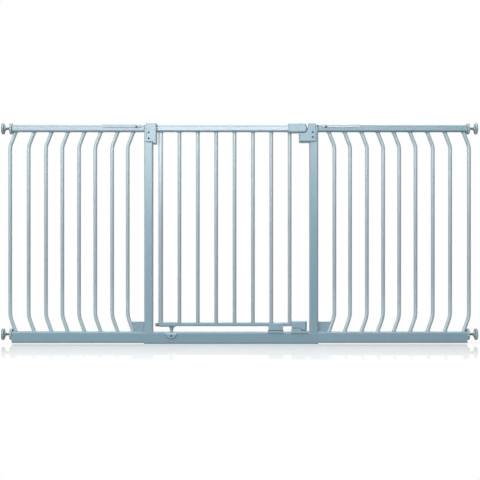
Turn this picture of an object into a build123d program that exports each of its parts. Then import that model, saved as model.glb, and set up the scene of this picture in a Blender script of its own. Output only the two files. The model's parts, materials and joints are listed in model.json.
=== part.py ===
from build123d import *

import os
from math import cos, pi, radians, sin, sqrt, tan

# Walk-through safety gate, pressure-fitted between two walls, with its door closed.
# X runs along the gate, Y points away from the room and Z points up. The origin is on
# the floor, midway between the wall pads. All sizes are in millimetres.

# Whole gate
WALL_SPAN = 1620.0
RAIL_Z = 733.0
DOOR_LIFT = 6.0

# Box tubes
TUBE_WALL = 1.5
POST_SIDE = 30.0
POST_CORNER = 5.0
POST_TOP = 745.0
POST_SADDLE = 3.5
HINGE_POST_X = -309.5
LATCH_POST_X = 253.0
BASE_DEPTH = 30.0
BASE_HEIGHT = 40.0
BASE_CORNER = 5.0
RAIL_SIDE = 24.0
RAIL_CORNER = 6.0
EXTENSION_LIFT = 3.0
EXTENSION_HEIGHT = 38.0
RAIL_END_X = 773.0

# Extension bars, bent towards the doorway at both ends
BAR_DIAMETER = 13.0
BAR_WALL = 1.0
OUTER_BAR_X = 783.0
LEFT_BAR_GAPS = (63.0, 59.1, 56.0, 56.8, 55.5, 57.7, 53.1)
RIGHT_BAR_GAPS = (64.2, 59.2, 58.9, 55.8, 54.8, 55.4, 57.5, 53.4)
TOP_BEND_SHIFT = 19.0
TOP_BEND_ANGLE = 21.3
TOP_BEND_RADIUS = 55.0
FOOT_BEND_SHIFT = 18.7
FOOT_BEND_ANGLE = 20.0
FOOT_BEND_RADIUS = 90.0
BAR_OVERRUN = 12.0

# Door frame
PIVOT_X = -232.0
STILE_X = -269.0
STILE_DIAMETER = 16.0
STILE_WALL = 1.2
DOOR_BAR_START_X = -205.2
DOOR_BAR_GAP = 62.7
DOOR_BAR_COUNT = 7
DOOR_RAIL_START_X = -278.5
DOOR_RAIL_END_X = 182.0
BOTTOM_RAIL_DEPTH = 14.0
BOTTOM_RAIL_HEIGHT = 13.0
BOTTOM_RAIL_CORNER = 3.0
BOTTOM_RAIL_Z = 65.5
BOTTOM_RAIL_START_X = -272.0
BOTTOM_RAIL_END_X = 190.0

# Fits
PLAY = 0.3
SNUG = 0.1
RUNNING_PLAY = 0.05

# Screws
SCREW_HEAD_RADIUS = 3.4
SCREW_HEAD_HEIGHT = 2.0
SCREW_SHANK_RADIUS = 2.0
SCREW_SOCKET_RADIUS = 1.7
SCREW_SOCKET_DEPTH = 1.3

# Hinge cover and hinge arm
COVER_DEPTH = 38.0
COVER_EDGE = 2.5
COVER_CORNER = 5.0
COVER_TOP = 750.0
HINGE_COVER_START_X = -317.0
HINGE_COVER_END_X = -281.5
HINGE_COVER_BOTTOM = 680.0
HINGE_COVER_STEP = 5.0
HINGE_COVER_UNDERCUT = 3.5
HINGE_SCREW_X = -308.5
HINGE_SCREW_HEIGHTS = (718.6, 698.0)
ARM_WIDTH = 14.0
ARM_HEIGHT = 6.0
ARM_Z = RAIL_Z + DOOR_LIFT / 2
ARM_FOOT_THICKNESS = 4.5
ARM_FOOT_WIDTH = 22.0
ARM_FOOT_HEIGHT = 41.0
ARM_FOOT_Z = 724.0

# Hinge pins and the blocks they turn in
PIN_RADIUS = 4.0
PIN_EDGE = 0.5
PLUG_END_X = -212.0
PLUG_SLOT_MARGIN = 1.0
PLUG_SLOT_HEIGHT = ARM_HEIGHT + DOOR_LIFT + 2 * PLUG_SLOT_MARGIN
PLUG_SLOT_END_X = -224.0
PLUG_CAP_LENGTH = 3.0
PLUG_DOME_RADIUS = 49.0
SLEEVE_START_X = -273.5
SLEEVE_END_X = -217.0
SLEEVE_DEPTH = 18.0
SLEEVE_BOTTOM = 57.0
SLEEVE_TOP = 73.5
SLEEVE_CORNER = 4.0
CAP_START_X = -287.5
CAP_RADIUS = 5.8
CAP_EDGE = 3.0
CAP_Z = 64.0
CAP_PLUG_LENGTH = 10.0
CONE_RADIUS = 9.3
CONE_TIP_RADIUS = 3.5
CONE_TIP_Z = 41.0
CONE_PIN_BOTTOM = 24.0
CONE_HOLE_RADIUS = 5.5
PIVOT_BLOCK_WIDTH = 36.0
PIVOT_BLOCK_BORE_BOTTOM = 20.0
PIVOT_PLATE_RADIUS = 19.0
PIVOT_PLATE_TOP = 36.6
PIVOT_PLATE_THICKNESS = 4.5
PIVOT_PLATE_EDGE = 1.8
PIVOT_PLATE_TOP_EDGE = 3.2
PIVOT_SCREW_Z = 27.0

# Handle, latch bolt and latch receiver
HANDLE_START_X = 166.4
HANDLE_NOSE_START_X = 223.5
HANDLE_NOSE_X = 230.0
HANDLE_BOTTOM = 717.6
HANDLE_TOP = 749.5
HANDLE_DEPTH = 35.0
HANDLE_EDGE = 5.5
HANDLE_SCREW_PLACES = ((193.0, 724.3), (218.0, 741.0))
HANDLE_SCREW_LENGTH = 26.0
TONGUE_START_X = 208.0
TONGUE_END_X = 224.0
TONGUE_DEPTH = 23.0
TONGUE_BOTTOM = 703.0
BOLT_START_X = 206.0
BOLT_END_X = 236.8
BOLT_DEPTH = 10.0
BOLT_HEIGHT = 8.0
BOLT_Z = 732.0
BOLT_TRAVEL = 8.0
BOLT_NOSE_CHAMFER = 2.0
CHANNEL_START_X = 186.5
BUTTON_MID_X = 208.0
BUTTON_LENGTH = 16.0
BUTTON_DEPTH = 16.0
BUTTON_BOTTOM = 747.6
BUTTON_TOP = 751.2
BUTTON_EDGE = 1.0
NECK_LENGTH = 6.0
NECK_DEPTH = 8.0
NECK_MID_X = 209.0
RECESS_FLOOR = 747.3
SPRING_RADIUS = 3.2
SPRING_WIRE_RADIUS = 0.45
SPRING_TURNS = 7
SPRING_POINTS_PER_TURN = 8
RECEIVER_START_X = 203.0
RECEIVER_UPPER_X = 234.0
RECEIVER_END_X = 259.5
RECEIVER_BOTTOM = 685.0
RECEIVER_SHELF = 716.8
RECEIVER_CORNER = 4.0
RECEIVER_NOTCH_Z = 745.0
RECEIVER_EDGE = 2.0
RECEIVER_UNDERCUT = 5.0
CRADLE_PLAY = 0.75
CRADLE_ANGLE = 30.0
RECEIVER_SCREW_X = 248.6
RECEIVER_SCREW_HEIGHTS = (718.8, 702.0)
GROOVE_FRONT = 13.0
GROOVE_SIDE_PLAY = 2.0
GROOVE_FLOOR = 700.0
POCKET_FRONT = 8.0
POCKET_BOTTOM = 726.5

# Fittings on the base rail
FITTING_FRONT = 18.0
FLANGE_THICKNESS = 2.7
FLANGE_EDGE = 2.4
STOP_START_X = 98.0
STOP_END_X = 148.0
STOP_FOOT_OVERHANG = 1.5
STOP_FOOT_HEIGHT = 5.0
STOP_FOOT_BACK = 12.0
STOP_FLANGE_DROP = 4.0
STOP_FRONT = 18.5
STOP_GROOVE_HEIGHT = 2.2
STOP_GROOVE_FRONT = 10.5
STOP_BACK = 8.5
STOP_TOP = 69.5
STOP_CORNER = 5.0
STOP_SCREW_Y = 4.0
HOOK_START_X = 177.8
HOOK_END_X = 229.2
HOOK_BOTTOM = 52.5
HOOK_TOP = 76.5
HOOK_DEPTH = 30.0
HOOK_EDGE = 2.5
HOOK_END_SLOPE = 6.0
HOOK_TOE_START_X = 207.5
HOOK_INNER_CORNER = 0.8
HOOK_TOE_BOTTOM = 45.6
HOOK_TONGUE_START_X = 208.5
HOOK_TONGUE_END_X = 227.0
HOOK_TONGUE_DEPTH = 18.0
HOOK_TONGUE_BOTTOM = 43.6
KEEPER_START_X = 176.0
KEEPER_STEP_X = 206.0
KEEPER_END_X = 233.4
KEEPER_FLOOR_HEIGHT = 2.4
KEEPER_BACK = 14.0
KEEPER_LIP_BACK = 10.5
KEEPER_LIP_TOP = 52.2
KEEPER_LOW_LIP_TOP = 45.0
KEEPER_FLANGE_DROP = 5.5
KEEPER_SCREW = (192.0, 3.0)
BASE_SCREW_LENGTH = 9.0

# Joints between the frame and its extensions
STRAP_OFFSET = 12.2
STRAP_LENGTH = 130.0
STRAP_THICKNESS = 2.0
STRAP_EDGE = 1.2
STRAP_BOTTOM = 735.0
STRAP_SCREW_OFFSET = 14.0
STRAP_SCREW_Z = 738.3
STRAP_SCREW_LENGTH = 12.0
TOP_SPIGOT_SIDE = 20.4
TOP_SPIGOT_LENGTH = 70.0
BASE_SPIGOT_DEPTH = 26.4
BASE_SPIGOT_HEIGHT = 33.4
BASE_SPIGOT_LENGTH = 80.0
SPIGOT_CORNER = 4.2
JOINT_PLATE_THICKNESS = 6.0
JOINT_PLATE_TOP = 74.5

# Wall adjusters
BASE_SPINDLE_Z = 31.5
PLUG_DEPTH = 20.0
PLUG_FLANGE = 2.0
WHEEL_RADIUS = 19.5
WHEEL_THICKNESS = 8.0
WHEEL_SCALLOPS = 14
WHEEL_SCALLOP_RADIUS = 3.2
WHEEL_EDGE = 0.8
SPINDLE_RADIUS = 4.5
SPINDLE_END_X = 735.0
PAD_RADIUS = 20.0
PAD_THICKNESS = 4.5
PAD_EDGE = 1.2
PAD_HUB_RADIUS = 8.0
PAD_HUB_X = 797.0
FACING_RADIUS = 19.4
FACING_THICKNESS = 2.5

# Derived places
RAIL_BOTTOM = RAIL_Z - RAIL_SIDE / 2
RAIL_TOP = RAIL_Z + RAIL_SIDE / 2
EXTENSION_BASE_Z = EXTENSION_LIFT + EXTENSION_HEIGHT / 2
EXTENSION_BASE_TOP = EXTENSION_LIFT + EXTENSION_HEIGHT
HINGE_POST_OUTER_X = HINGE_POST_X - POST_SIDE / 2
HINGE_POST_INNER_X = HINGE_POST_X + POST_SIDE / 2
LATCH_POST_INNER_X = LATCH_POST_X - POST_SIDE / 2
LATCH_POST_OUTER_X = LATCH_POST_X + POST_SIDE / 2
STOP_MID_X = (STOP_START_X + STOP_END_X) / 2
BASE_TOP_SCREWS = ((STOP_MID_X, STOP_SCREW_Y), KEEPER_SCREW)
FACING_X = WALL_SPAN / 2 - FACING_THICKNESS
PAD_X = FACING_X - PAD_THICKNESS
WHEEL_X = RAIL_END_X + PLUG_FLANGE + PLAY
BOTTOM_RAIL_TOP = BOTTOM_RAIL_Z + BOTTOM_RAIL_HEIGHT / 2
BORE_RADIUS = PIN_RADIUS + RUNNING_PLAY
SPINDLE_BORE_RADIUS = SPINDLE_RADIUS + RUNNING_PLAY
SCREW_HOLE_RADIUS = SCREW_SHANK_RADIUS + RUNNING_PLAY


def across(x, z):
    """Plane square to X at one place, with Y across it and Z up it."""
    return Plane(origin=(x, 0, z), x_dir=(0, 1, 0), z_dir=(1, 0, 0))


def save(piece, name):
    """Label a finished piece and write it to its own file."""
    piece.label = name
    export_step(piece, f"parts/{name}.step")


def box_tube_along_x(start_x, end_x, mid_z, depth, height, corner):
    """Open-ended box tube along X with rounded corners."""
    with BuildPart() as tube:
        with BuildSketch(across(start_x, mid_z)):
            RectangleRounded(depth, height, corner)
            RectangleRounded(
                depth - 2 * TUBE_WALL, height - 2 * TUBE_WALL, corner - TUBE_WALL, mode=Mode.SUBTRACT
            )
        extrude(amount=end_x - start_x)
    return tube.part


def block(low, high, mode=Mode.ADD):
    """Box between two opposite corners, in the part being built."""
    middle = [(start + end) / 2 for start, end in zip(low, high)]
    size = [end - start for start, end in zip(low, high)]
    with Locations(tuple(middle)):
        Box(*size, mode=mode)


def round_bar(x, y, radius, bottom, top, mode=Mode.ADD):
    """Upright cylinder, in the part being built."""
    with Locations((x, y, (bottom + top) / 2)):
        Cylinder(radius, top - bottom, mode=mode)


def front_holes(places, front_y, back_y, radius):
    """Round holes along Y at X and Z places, from one distance before the middle plane to another."""
    depth = front_y - back_y
    middle_y = -(front_y + back_y) / 2
    with Locations(*[Location((x, middle_y, z), (90, 0, 0)) for x, z in places]):
        Cylinder(radius, depth, mode=Mode.SUBTRACT)


def front_screws(places, front_y, length):
    """Socket-head screws driven along Y, with their heads towards the room."""
    with BuildPart() as screws:
        with BuildSketch(Plane.XZ.offset(front_y)):
            with Locations(*places):
                Circle(SCREW_HEAD_RADIUS)
        extrude(amount=-SCREW_HEAD_HEIGHT)
        with BuildSketch(Plane.XZ.offset(front_y - SCREW_HEAD_HEIGHT)):
            with Locations(*places):
                Circle(SCREW_SHANK_RADIUS)
        extrude(amount=-length)
        with BuildSketch(Plane.XZ.offset(front_y)):
            with Locations(*places):
                RegularPolygon(SCREW_SOCKET_RADIUS, 6)
        extrude(amount=-SCREW_SOCKET_DEPTH, mode=Mode.SUBTRACT)
    return screws.part


def make_base_rail():
    """Box tube on the floor under the doorway, drilled for its fittings."""
    pivot_screw = [(PIVOT_X, PIVOT_SCREW_Z)]
    tube = box_tube_along_x(
        HINGE_POST_OUTER_X, LATCH_POST_OUTER_X, BASE_HEIGHT / 2, BASE_DEPTH, BASE_HEIGHT, BASE_CORNER
    )
    with BuildPart() as base_rail:
        add(tube)
        with BuildSketch(Plane.XY.offset(BASE_HEIGHT)):
            with Locations((PIVOT_X, 0)):
                Circle(CONE_HOLE_RADIUS)
            with Locations(*BASE_TOP_SCREWS):
                Circle(SCREW_HOLE_RADIUS)
        extrude(amount=-2 * TUBE_WALL, mode=Mode.SUBTRACT)
        front_holes(pivot_screw, BASE_DEPTH / 2, BASE_DEPTH / 2 - 2 * TUBE_WALL, SCREW_HOLE_RADIUS)
    save(base_rail.part, "base_rail")


def make_post(name, x, screw_x, screw_heights):
    """Upright box tube saddled over the base rail, drilled for its cover's screws."""
    screw_places = [(screw_x, height) for height in screw_heights]
    foot_z = BASE_HEIGHT - POST_SADDLE
    with BuildPart() as post:
        with BuildSketch(Plane.XY.offset(foot_z)):
            with Locations((x, 0)):
                RectangleRounded(POST_SIDE, POST_SIDE, POST_CORNER)
                inner_side = POST_SIDE - 2 * TUBE_WALL
                RectangleRounded(inner_side, inner_side, POST_CORNER - TUBE_WALL, mode=Mode.SUBTRACT)
        extrude(amount=POST_TOP - foot_z)
        with BuildSketch(across(x - POST_SIDE, BASE_HEIGHT / 2)):
            RectangleRounded(BASE_DEPTH, BASE_HEIGHT, BASE_CORNER)
        extrude(amount=2 * POST_SIDE, mode=Mode.SUBTRACT)
        front_holes(screw_places, POST_SIDE / 2, POST_SIDE / 2 - 2 * TUBE_WALL, SCREW_HOLE_RADIUS)
    save(post.part, name)


def underside_wedge(start_x, end_x, bottom_z, rise):
    """Wedge to be cut from under the front edge of a cover, so that its lower rim slopes back."""
    front_y = -COVER_DEPTH / 2
    with BuildPart() as wedge:
        with BuildSketch(across(start_x, bottom_z)):
            with BuildLine():
                Polyline((front_y, 0), (front_y, rise), (front_y + rise, 0), close=True)
            make_face()
        extrude(amount=end_x - start_x)
    return wedge.part


def cut_screw_seats(screw_x, screw_heights):
    """Counterbored seats for the two screws in the front of a cover."""
    places = [(screw_x, height) for height in screw_heights]
    cover_front = COVER_DEPTH / 2
    seat_radius = SCREW_HEAD_RADIUS + SNUG
    front_holes(places, cover_front, POST_SIDE / 2, SCREW_HOLE_RADIUS)
    front_holes(places, cover_front, cover_front - SCREW_HEAD_HEIGHT, seat_radius)


def make_hinge_cover():
    """Moulded housing that wraps the top of the hinge post and the foot of its arm."""
    half_depth = COVER_DEPTH / 2
    post_half = POST_SIDE / 2 + SNUG
    foot_half = ARM_FOOT_WIDTH / 2 + SNUG
    arm_half = ARM_WIDTH / 2 + SNUG
    foot_end_x = HINGE_POST_INNER_X + ARM_FOOT_THICKNESS + SNUG
    foot_bottom = ARM_FOOT_Z - ARM_FOOT_HEIGHT / 2 - SNUG
    step_z = HINGE_COVER_BOTTOM + HINGE_COVER_STEP
    undersides = (
        underside_wedge(HINGE_COVER_START_X, HINGE_POST_INNER_X, step_z, HINGE_COVER_UNDERCUT),
        underside_wedge(HINGE_POST_INNER_X, HINGE_COVER_END_X, HINGE_COVER_BOTTOM, HINGE_COVER_UNDERCUT),
    )
    with BuildPart() as hinge_cover:
        with BuildSketch(Plane.XY.offset(HINGE_COVER_BOTTOM)) as outline:
            with Locations(((HINGE_COVER_START_X + HINGE_COVER_END_X) / 2, 0)):
                Rectangle(HINGE_COVER_END_X - HINGE_COVER_START_X, COVER_DEPTH)
            fillet(outline.vertices().group_by(Axis.X)[0], COVER_EDGE)
            fillet(outline.vertices().group_by(Axis.X)[-1], COVER_CORNER)
        extrude(amount=COVER_TOP - HINGE_COVER_BOTTOM)
        fillet(hinge_cover.faces().sort_by(Axis.Z)[-1].edges(), COVER_EDGE)
        block(
            (HINGE_COVER_START_X, -half_depth, HINGE_COVER_BOTTOM),
            (HINGE_POST_INNER_X, half_depth, step_z),
            mode=Mode.SUBTRACT,
        )
        block(
            (HINGE_COVER_START_X, -post_half, HINGE_COVER_BOTTOM),
            (HINGE_POST_INNER_X + SNUG, post_half, POST_TOP + SNUG),
            mode=Mode.SUBTRACT,
        )
        block(
            (HINGE_POST_INNER_X, -foot_half, foot_bottom),
            (foot_end_x, foot_half, POST_TOP),
            mode=Mode.SUBTRACT,
        )
        block(
            (foot_end_x, -arm_half, ARM_Z - ARM_HEIGHT / 2 - SNUG),
            (HINGE_COVER_END_X, arm_half, ARM_Z + ARM_HEIGHT / 2 + SNUG),
            mode=Mode.SUBTRACT,
        )
        add(undersides, mode=Mode.SUBTRACT)
        cut_screw_seats(HINGE_SCREW_X, HINGE_SCREW_HEIGHTS)
    save(hinge_cover.part, "hinge_cover")


def make_hinge_arm():
    """Steel arm from the hinge post into the door's top rail, bored for the upper pin."""
    foot_start_x = HINGE_POST_INNER_X
    with BuildPart() as hinge_arm:
        with BuildSketch(across(foot_start_x, ARM_FOOT_Z)):
            Rectangle(ARM_FOOT_WIDTH, ARM_FOOT_HEIGHT)
        extrude(amount=ARM_FOOT_THICKNESS)
        with BuildSketch(Plane.XY.offset(ARM_Z - ARM_HEIGHT / 2)):
            with Locations(((foot_start_x + PIVOT_X) / 2, 0)):
                Rectangle(PIVOT_X - foot_start_x, ARM_WIDTH)
            with Locations((PIVOT_X, 0)):
                Circle(ARM_WIDTH / 2)
                Circle(BORE_RADIUS, mode=Mode.SUBTRACT)
        extrude(amount=ARM_HEIGHT)
    save(hinge_arm.part, "hinge_arm")


def make_pivot_block():
    """Block inside the base rail that takes the lower pivot, and its half-round front plate."""
    inner_depth = BASE_DEPTH - 2 * TUBE_WALL - 2 * SNUG
    inner_height = BASE_HEIGHT - 2 * TUBE_WALL - 2 * SNUG
    inner_top = (BASE_HEIGHT + inner_height) / 2
    screw_place = [(PIVOT_X, PIVOT_SCREW_Z)]
    plate_front = BASE_DEPTH / 2 + PIVOT_PLATE_THICKNESS
    with BuildPart() as pivot_block:
        with BuildSketch(across(PIVOT_X, BASE_HEIGHT / 2)):
            RectangleRounded(inner_depth, inner_height, BASE_CORNER - TUBE_WALL)
        extrude(amount=PIVOT_BLOCK_WIDTH / 2, both=True)
        round_bar(
            PIVOT_X,
            0,
            CONE_TIP_RADIUS + RUNNING_PLAY,
            PIVOT_BLOCK_BORE_BOTTOM,
            inner_top,
            mode=Mode.SUBTRACT,
        )
        front_holes(screw_place, inner_depth / 2, PIN_RADIUS, SCREW_HOLE_RADIUS)
    save(pivot_block.part, "pivot_block")

    with BuildPart() as pivot_plate:
        with BuildSketch(Plane.XZ.offset(BASE_DEPTH / 2)):
            with Locations((PIVOT_X, PIVOT_PLATE_TOP)):
                Circle(PIVOT_PLATE_RADIUS)
                Rectangle(
                    2 * PIVOT_PLATE_RADIUS,
                    PIVOT_PLATE_RADIUS,
                    align=(Align.CENTER, Align.MIN),
                    mode=Mode.SUBTRACT,
                )
        extrude(amount=PIVOT_PLATE_THICKNESS)
        front_edges = pivot_plate.faces().sort_by(Axis.Y)[0].edges()
        chamfer(front_edges.filter_by(GeomType.CIRCLE), PIVOT_PLATE_EDGE)
        chamfer(pivot_plate.faces().sort_by(Axis.Y)[0].edges().sort_by(Axis.Z)[-1], PIVOT_PLATE_TOP_EDGE)
        front_holes(screw_place, plate_front, BASE_DEPTH / 2, SCREW_HOLE_RADIUS)
        front_holes(screw_place, plate_front, plate_front - SCREW_HEAD_HEIGHT, SCREW_HEAD_RADIUS + SNUG)
    save(pivot_plate.part, "pivot_plate")


def make_latch_receiver():
    """Moulded housing on the latch post, with a shelf whose groove takes the handle's tongue."""
    half_depth = COVER_DEPTH / 2
    post_half = POST_SIDE / 2 + SNUG
    nose_mid_z = (HANDLE_BOTTOM + HANDLE_TOP) / 2
    nose_rise = (HANDLE_TOP - HANDLE_BOTTOM) / 2
    nose_reach = HANDLE_NOSE_X - HANDLE_NOSE_START_X
    nose_radius = (nose_rise**2 + nose_reach**2) / (2 * nose_reach)
    nose_mid_x = HANDLE_NOSE_X - nose_radius
    cradle_radius = nose_radius + CRADLE_PLAY
    cradle_drop = nose_mid_z - RECEIVER_SHELF
    cradle_start = (nose_mid_x + sqrt(cradle_radius**2 - cradle_drop**2), RECEIVER_SHELF)
    cradle_middle = (
        nose_mid_x + cradle_radius * cos(radians(CRADLE_ANGLE)),
        nose_mid_z - cradle_radius * sin(radians(CRADLE_ANGLE)),
    )
    cradle_end = (nose_mid_x + cradle_radius, nose_mid_z)
    outline = (
        cradle_end,
        (RECEIVER_UPPER_X, RECEIVER_NOTCH_Z),
        (RECEIVER_UPPER_X, COVER_TOP),
        (RECEIVER_END_X, COVER_TOP),
        (RECEIVER_END_X, RECEIVER_BOTTOM),
        (RECEIVER_START_X, RECEIVER_BOTTOM),
        (RECEIVER_START_X, RECEIVER_SHELF),
        cradle_start,
    )
    corner_radii = (0, COVER_EDGE, COVER_EDGE, RECEIVER_CORNER, COVER_CORNER, COVER_EDGE)
    underside = underside_wedge(RECEIVER_START_X, RECEIVER_END_X, RECEIVER_BOTTOM, RECEIVER_UNDERCUT)
    with BuildPart() as latch_receiver:
        with BuildSketch(Plane.XZ):
            with BuildLine():
                FilletPolyline(*outline, radius=corner_radii)
                ThreePointArc(cradle_start, cradle_middle, cradle_end)
            make_face()
        extrude(amount=half_depth, both=True)
        front = latch_receiver.faces().sort_by(Axis.Y)[0]
        back = latch_receiver.faces().sort_by(Axis.Y)[-1]
        chamfer(front.edges() + back.edges(), RECEIVER_EDGE)
        block(
            (LATCH_POST_INNER_X - SNUG, -post_half, RECEIVER_BOTTOM),
            (RECEIVER_END_X, post_half, POST_TOP + SNUG),
            mode=Mode.SUBTRACT,
        )
        block(
            (TONGUE_START_X - GROOVE_SIDE_PLAY, -GROOVE_FRONT, GROOVE_FLOOR),
            (TONGUE_END_X + GROOVE_SIDE_PLAY, half_depth, nose_mid_z),
            mode=Mode.SUBTRACT,
        )
        block(
            (HANDLE_NOSE_START_X, -POCKET_FRONT, POCKET_BOTTOM),
            (LATCH_POST_INNER_X, half_depth, POST_TOP),
            mode=Mode.SUBTRACT,
        )
        add(underside, mode=Mode.SUBTRACT)
        cut_screw_seats(RECEIVER_SCREW_X, RECEIVER_SCREW_HEIGHTS)
    save(latch_receiver.part, "latch_receiver")


def make_swing_stop():
    """Upright stop on the base rail that keeps the door from swinging into the room."""
    foot_top = BASE_HEIGHT + STOP_FOOT_HEIGHT
    body_bottom = foot_top + STOP_GROOVE_HEIGHT
    foot_start_x = STOP_START_X - STOP_FOOT_OVERHANG
    foot_end_x = STOP_END_X + STOP_FOOT_OVERHANG
    outline = (
        (STOP_START_X, body_bottom),
        (STOP_END_X, body_bottom),
        (STOP_END_X, STOP_TOP),
        (STOP_START_X, STOP_TOP),
    )
    with BuildPart() as swing_stop:
        block((foot_start_x, -FITTING_FRONT, BASE_HEIGHT), (foot_end_x, STOP_FOOT_BACK, foot_top))
        block(
            (foot_start_x, -FITTING_FRONT, BASE_HEIGHT - STOP_FLANGE_DROP),
            (foot_end_x, -FITTING_FRONT + FLANGE_THICKNESS, BASE_HEIGHT),
        )
        chamfer(swing_stop.edges().filter_by(Axis.X).group_by(Axis.Z)[0].sort_by(Axis.Y)[0], FLANGE_EDGE)
        block((STOP_START_X, -STOP_GROOVE_FRONT, foot_top), (STOP_END_X, -STOP_BACK, body_bottom))
        with BuildSketch(Plane.XZ.offset(STOP_BACK)):
            with BuildLine():
                FilletPolyline(*outline, radius=(0, 0, STOP_CORNER, STOP_CORNER), close=True)
            make_face()
        extrude(amount=STOP_FRONT - STOP_BACK)
        round_bar(STOP_MID_X, STOP_SCREW_Y, SCREW_HOLE_RADIUS, BASE_HEIGHT, foot_top, mode=Mode.SUBTRACT)
        round_bar(
            STOP_MID_X,
            STOP_SCREW_Y,
            SCREW_HEAD_RADIUS + SNUG,
            foot_top - SCREW_HEAD_HEIGHT,
            foot_top,
            mode=Mode.SUBTRACT,
        )
    save(swing_stop.part, "swing_stop")


def make_foot_keeper():
    """Stepped lip on the base rail in front of the foot hook's tongue."""
    floor_top = BASE_HEIGHT + KEEPER_FLOOR_HEIGHT
    with BuildPart() as foot_keeper:
        block((KEEPER_START_X, -FITTING_FRONT, BASE_HEIGHT), (KEEPER_END_X, KEEPER_BACK, floor_top))
        block(
            (KEEPER_START_X, -FITTING_FRONT, BASE_HEIGHT - KEEPER_FLANGE_DROP),
            (KEEPER_END_X, -FITTING_FRONT + FLANGE_THICKNESS, BASE_HEIGHT),
        )
        chamfer(foot_keeper.edges().filter_by(Axis.X).group_by(Axis.Z)[0].sort_by(Axis.Y)[0], FLANGE_EDGE)
        block(
            (KEEPER_START_X, -FITTING_FRONT, floor_top),
            (KEEPER_STEP_X, -KEEPER_LIP_BACK, KEEPER_LIP_TOP),
        )
        block(
            (KEEPER_STEP_X, -FITTING_FRONT, floor_top),
            (KEEPER_END_X, -KEEPER_LIP_BACK, KEEPER_LOW_LIP_TOP),
        )
        round_bar(
            KEEPER_SCREW[0],
            KEEPER_SCREW[1],
            SCREW_HOLE_RADIUS,
            BASE_HEIGHT,
            floor_top,
            mode=Mode.SUBTRACT,
        )
    save(foot_keeper.part, "foot_keeper")


def top_screw(place, seat_z):
    """Socket-head screw driven down into the base rail, with its head on a seat."""
    x, y = place
    with BuildPart() as screw:
        round_bar(x, y, SCREW_HEAD_RADIUS, seat_z, seat_z + SCREW_HEAD_HEIGHT)
        round_bar(x, y, SCREW_SHANK_RADIUS, seat_z - BASE_SCREW_LENGTH, seat_z)
        with BuildSketch(Plane.XY.offset(seat_z + SCREW_HEAD_HEIGHT)):
            with Locations(place):
                RegularPolygon(SCREW_SOCKET_RADIUS, 6)
        extrude(amount=-SCREW_SOCKET_DEPTH, mode=Mode.SUBTRACT)
    return screw.part


def make_frame_screws():
    """Screws of the two covers, and screws of the fittings on the base rail."""
    cover_front = COVER_DEPTH / 2
    places = [(HINGE_SCREW_X, height) for height in HINGE_SCREW_HEIGHTS]
    places += [(RECEIVER_SCREW_X, height) for height in RECEIVER_SCREW_HEIGHTS]
    save(front_screws(places, cover_front, BASE_SCREW_LENGTH), "cover_screws")

    plate_front = BASE_DEPTH / 2 + PIVOT_PLATE_THICKNESS
    stop_seat = BASE_HEIGHT + STOP_FOOT_HEIGHT - SCREW_HEAD_HEIGHT
    keeper_seat = BASE_HEIGHT + KEEPER_FLOOR_HEIGHT
    screws = (
        front_screws([(PIVOT_X, PIVOT_SCREW_Z)], plate_front, BASE_SCREW_LENGTH),
        top_screw((STOP_MID_X, STOP_SCREW_Y), stop_seat),
        top_screw(KEEPER_SCREW, keeper_seat),
    )
    with BuildPart() as base_screws:
        add(screws)
    save(base_screws.part, "base_screws")


def bent_bar(x, side):
    """Round tube of an extension, bent towards the doorway at its top and at its foot."""
    inward = -side
    top_slope = tan(radians(TOP_BEND_ANGLE))
    foot_slope = tan(radians(FOOT_BEND_ANGLE))
    top_corner_z = RAIL_BOTTOM - TOP_BEND_SHIFT / top_slope
    foot_corner_z = EXTENSION_BASE_TOP + FOOT_BEND_SHIFT / foot_slope
    start = (x + inward * (FOOT_BEND_SHIFT + BAR_OVERRUN * foot_slope), EXTENSION_BASE_TOP - BAR_OVERRUN)
    end = (x + inward * (TOP_BEND_SHIFT + BAR_OVERRUN * top_slope), RAIL_BOTTOM + BAR_OVERRUN)
    with BuildPart() as bar:
        with BuildLine(Plane.XZ) as path:
            FilletPolyline(
                start,
                (x, foot_corner_z),
                (x, top_corner_z),
                end,
                radius=(FOOT_BEND_RADIUS, TOP_BEND_RADIUS),
            )
        with BuildSketch(Plane(origin=path.line @ 0, z_dir=path.line % 0)):
            Circle(BAR_DIAMETER / 2)
            Circle(BAR_DIAMETER / 2 - BAR_WALL, mode=Mode.SUBTRACT)
        sweep(path=path.line)
        split(bisect_by=Plane.XY.offset(RAIL_BOTTOM), keep=Keep.BOTTOM)
        split(bisect_by=Plane.XY.offset(EXTENSION_BASE_TOP), keep=Keep.TOP)
    return bar.part


def bar_places(gaps):
    """Distances of an extension's bars from the middle of the gate, from the wall inwards."""
    places = [OUTER_BAR_X]
    for gap in gaps:
        places.append(places[-1] - gap)
    return places


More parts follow.
